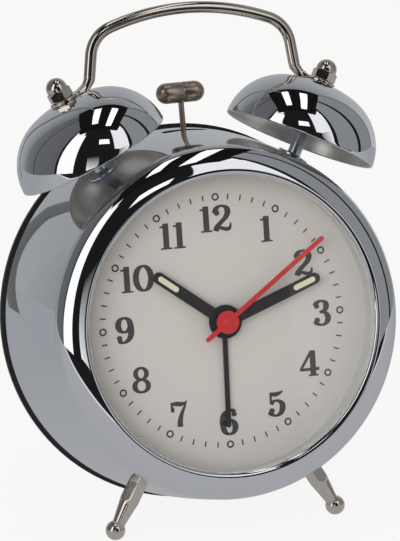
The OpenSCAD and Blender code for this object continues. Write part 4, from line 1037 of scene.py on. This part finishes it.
def card(name, corners, glow, tint=WHITE):
    """A flat glowing card between four corners, seen only in reflections, with a brightness at each corner.

    Points and brightness are the corners' mean, weighted by two parameters from 0 to 1.
    """
    u, v = np.linspace(0, 1, 7)[:, None, None], np.linspace(0, 1, 7)[None, :, None]
    mix = [(1 - u) * (1 - v), u * (1 - v), u * v, (1 - u) * v]
    points = sum(w * np.array(c, float) for w, c in zip(mix, corners))
    bright = sum(w * g for w, g in zip(mix, np.broadcast_to(glow, 4)))
    mesh = bpy.data.meshes.new(name)
    mesh.from_pydata(points.reshape(-1, 3).tolist(), [], grid_faces(7, 7, False, False).tolist())
    mesh.attributes.new("glow", "FLOAT", "POINT").data.foreach_set("value", bright.ravel())
    mat = bpy.data.materials.new(name)
    mat.use_nodes = True
    tree = mat.node_tree
    tree.nodes.clear()
    level = add_node(tree, "Attribute", attribute_name="glow").outputs["Fac"]
    shine = add_node(tree, "Emission", {"Color": (*tint, 1), "Strength": level})
    add_node(tree, "OutputMaterial", {0: shine.outputs[0]})
    obj = add_stage(name, mesh, mat)
    obj.visible_camera = obj.visible_shadow = obj.visible_diffuse = False


def floor_paper():
    """Paper that is nearly white to the camera and keeps the clock's shadow, and is a grey sheet in metal and glass."""
    mat = bpy.data.materials.new("floor")
    mat.use_nodes = True
    tree = mat.node_tree
    shader = tree.nodes["Principled BSDF"]
    feed(tree, shader, {"Base Color": (0.80, 0.77, 0.72, 1), "Roughness": 0.9, "Specular IOR Level": 0.0})
    white_share = 0.88
    share = add_node(tree, "Math", {0: any_ray(tree, "Camera"), 1: white_share}, operation="MULTIPLY")
    direct = blended(tree, share.outputs[0], shader, add_node(tree, "Emission"))
    # In metal and glass the sheet is a little darker behind the clock than in front.
    where = add_node(tree, "TexCoord").outputs["Object"]
    depth = add_node(tree, "SeparateXYZ", {0: where}).outputs["Y"]
    back = add_node(tree, "MapRange", {"Value": depth, "From Min": -0.06, "From Max": 0.14}).outputs["Result"]
    greys = {"A": (0.435, 0.437, 0.452, 1), "B": (0.36, 0.37, 0.39, 1), "Factor": back}
    grey = add_node(tree, "Mix", greys, data_type="RGBA").outputs["Result"]
    # It ends in front of the clock with a bright edge, and beyond that the room is dark.
    reach = add_node(tree, "MapRange", {"Value": depth, "From Min": -0.24, "From Max": -0.11}).outputs["Result"]
    rim = add_node(tree, "ValToRGB", {"Fac": reach})
    ramp, room = rim.color_ramp, 0.03
    ramp.interpolation = "EASE"
    for at, level in ((0.30, room), (0.36, 1.9), (0.44, 1.9), (0.60, 1.0)):
        ramp.elements.new(at).color = (level, level, level, 1)
    ramp.elements[0].color = (room, room, room, 1)
    both = {"Factor": 1.0, "A": grey, "B": rim.outputs["Color"]}
    lit = add_node(tree, "Mix", both, data_type="RGBA", blend_type="MULTIPLY").outputs["Result"]
    sheet = add_node(tree, "Emission", {"Color": lit})
    seen = blended(tree, any_ray(tree, "Glossy", "Transmission"), direct, sheet)
    feed(tree, tree.nodes["Material Output"], {0: seen.outputs[0]})
    return mat


class CLOCK_OT_stage(bpy.types.Operator):
    """Stage: pale floor, white backdrop, soft cards, a lamp and the camera"""

    bl_idname = "clock.stage"
    bl_label = "Stage"

    def execute(self, context):
        scene = context.scene
        scene.view_settings.view_transform = "Standard"
        camera = bpy.data.objects.new("camera", bpy.data.cameras.new("camera"))
        scene.collection.objects.link(camera)
        camera.location = (-0.278946, -0.860186, 0.306167)
        camera.rotation_euler = [math.radians(d) for d in (76.14841, 0.80014, -17.73836)]
        camera.data.lens = 199.63
        camera.data.sensor_width = 36
        camera.data.clip_start, camera.data.clip_end = 0.01, 100
        scene.camera = camera

        floor, w = bpy.data.meshes.new("floor"), 8.0
        floor.from_pydata([(-w, -w, 0), (w, -w, 0), (w, w, 0), (-w, w, 0)], [], [(0, 1, 2, 3)])
        add_stage("floor", floor, floor_paper())

        # The camera, metal and glass see a white world. Its light on other surfaces is softer.
        world = scene.world = bpy.data.worlds.new("studio")
        world.use_nodes = True
        tree = world.node_tree
        tree.nodes.clear()
        soft, bright = (add_node(tree, "Background", {"Color": (v, v, v, 1)}) for v in (0.62, 1))
        sky = blended(tree, any_ray(tree, "Camera", "Glossy", "Transmission"), soft, bright)
        add_node(tree, "OutputWorld", {0: sky.outputs[0]})

        for name, (foot, head, (low, high), half, glow, tint) in UPRIGHT_CARDS.items():
            edges = ((foot[0], low), (foot[1], low), (head[1], high), (head[0], high))
            card(name, [tent_point(bearing, z, half) for bearing, z in edges], glow, tint)
        for name, ((left, right), (near, far), (z0, z1), glow) in HIGH_CARDS.items():
            edges = ((left, near, z0), (right, near, z0), (right, far, z1), (left, far, z1))
            card(name, [aside * ASIDE + ahead * AHEAD + [0, 0, z] for aside, ahead, z in edges], glow)

        lamp = bpy.data.objects.new("key", bpy.data.lights.new("key", "AREA"))
        lamp.data.energy, lamp.data.size = 13, 1.1
        lamp.location = (-0.95, -1.35, 0.58)
        x, y, z = np.array([0, 0, 0.07]) - np.array(lamp.location)
        lamp.rotation_euler = (math.atan2(math.hypot(x, y), -z), 0, math.atan2(y, x) - math.pi / 2)
        lamp.visible_glossy = False
        scene.collection.objects.link(lamp)
        return {"FINISHED"}


class CLOCK_PT_panel(bpy.types.Panel):
    """The clock's operators in the sidebar"""

    bl_idname = "CLOCK_PT_panel"
    bl_label = "Twin Bell Clock"
    bl_space_type = "VIEW_3D"
    bl_region_type = "UI"
    bl_category = "Clock"

    def draw(self, context):
        for operator in OPERATORS:
            self.layout.operator(operator.bl_idname)


OPERATORS = (
    CLOCK_OT_finishes, CLOCK_OT_case, CLOCK_OT_bezel, CLOCK_OT_bells, CLOCK_OT_posts, CLOCK_OT_handle,
    CLOCK_OT_cap_nuts, CLOCK_OT_feet, CLOCK_OT_hammer, CLOCK_OT_knobs, CLOCK_OT_dial_print, CLOCK_OT_dial_slope,
    CLOCK_OT_second_cap, CLOCK_OT_stage,
)
CLASSES = (ClockSizes, ClockFinishes) + OPERATORS + (CLOCK_PT_panel,)


def register():
    for cls in CLASSES:
        bpy.utils.register_class(cls)
    bpy.types.Scene.clock_sizes = PointerProperty(type=ClockSizes)
    bpy.types.Scene.clock_finishes = PointerProperty(type=ClockFinishes)


def unregister():
    del bpy.types.Scene.clock_finishes
    del bpy.types.Scene.clock_sizes
    for cls in reversed(CLASSES):
        bpy.utils.unregister_class(cls)


def main():
    register()
    for operator in OPERATORS:
        group, name = operator.bl_idname.split(".")
        getattr(getattr(bpy.ops, group), name)()


if __name__ == "__main__":
    main()
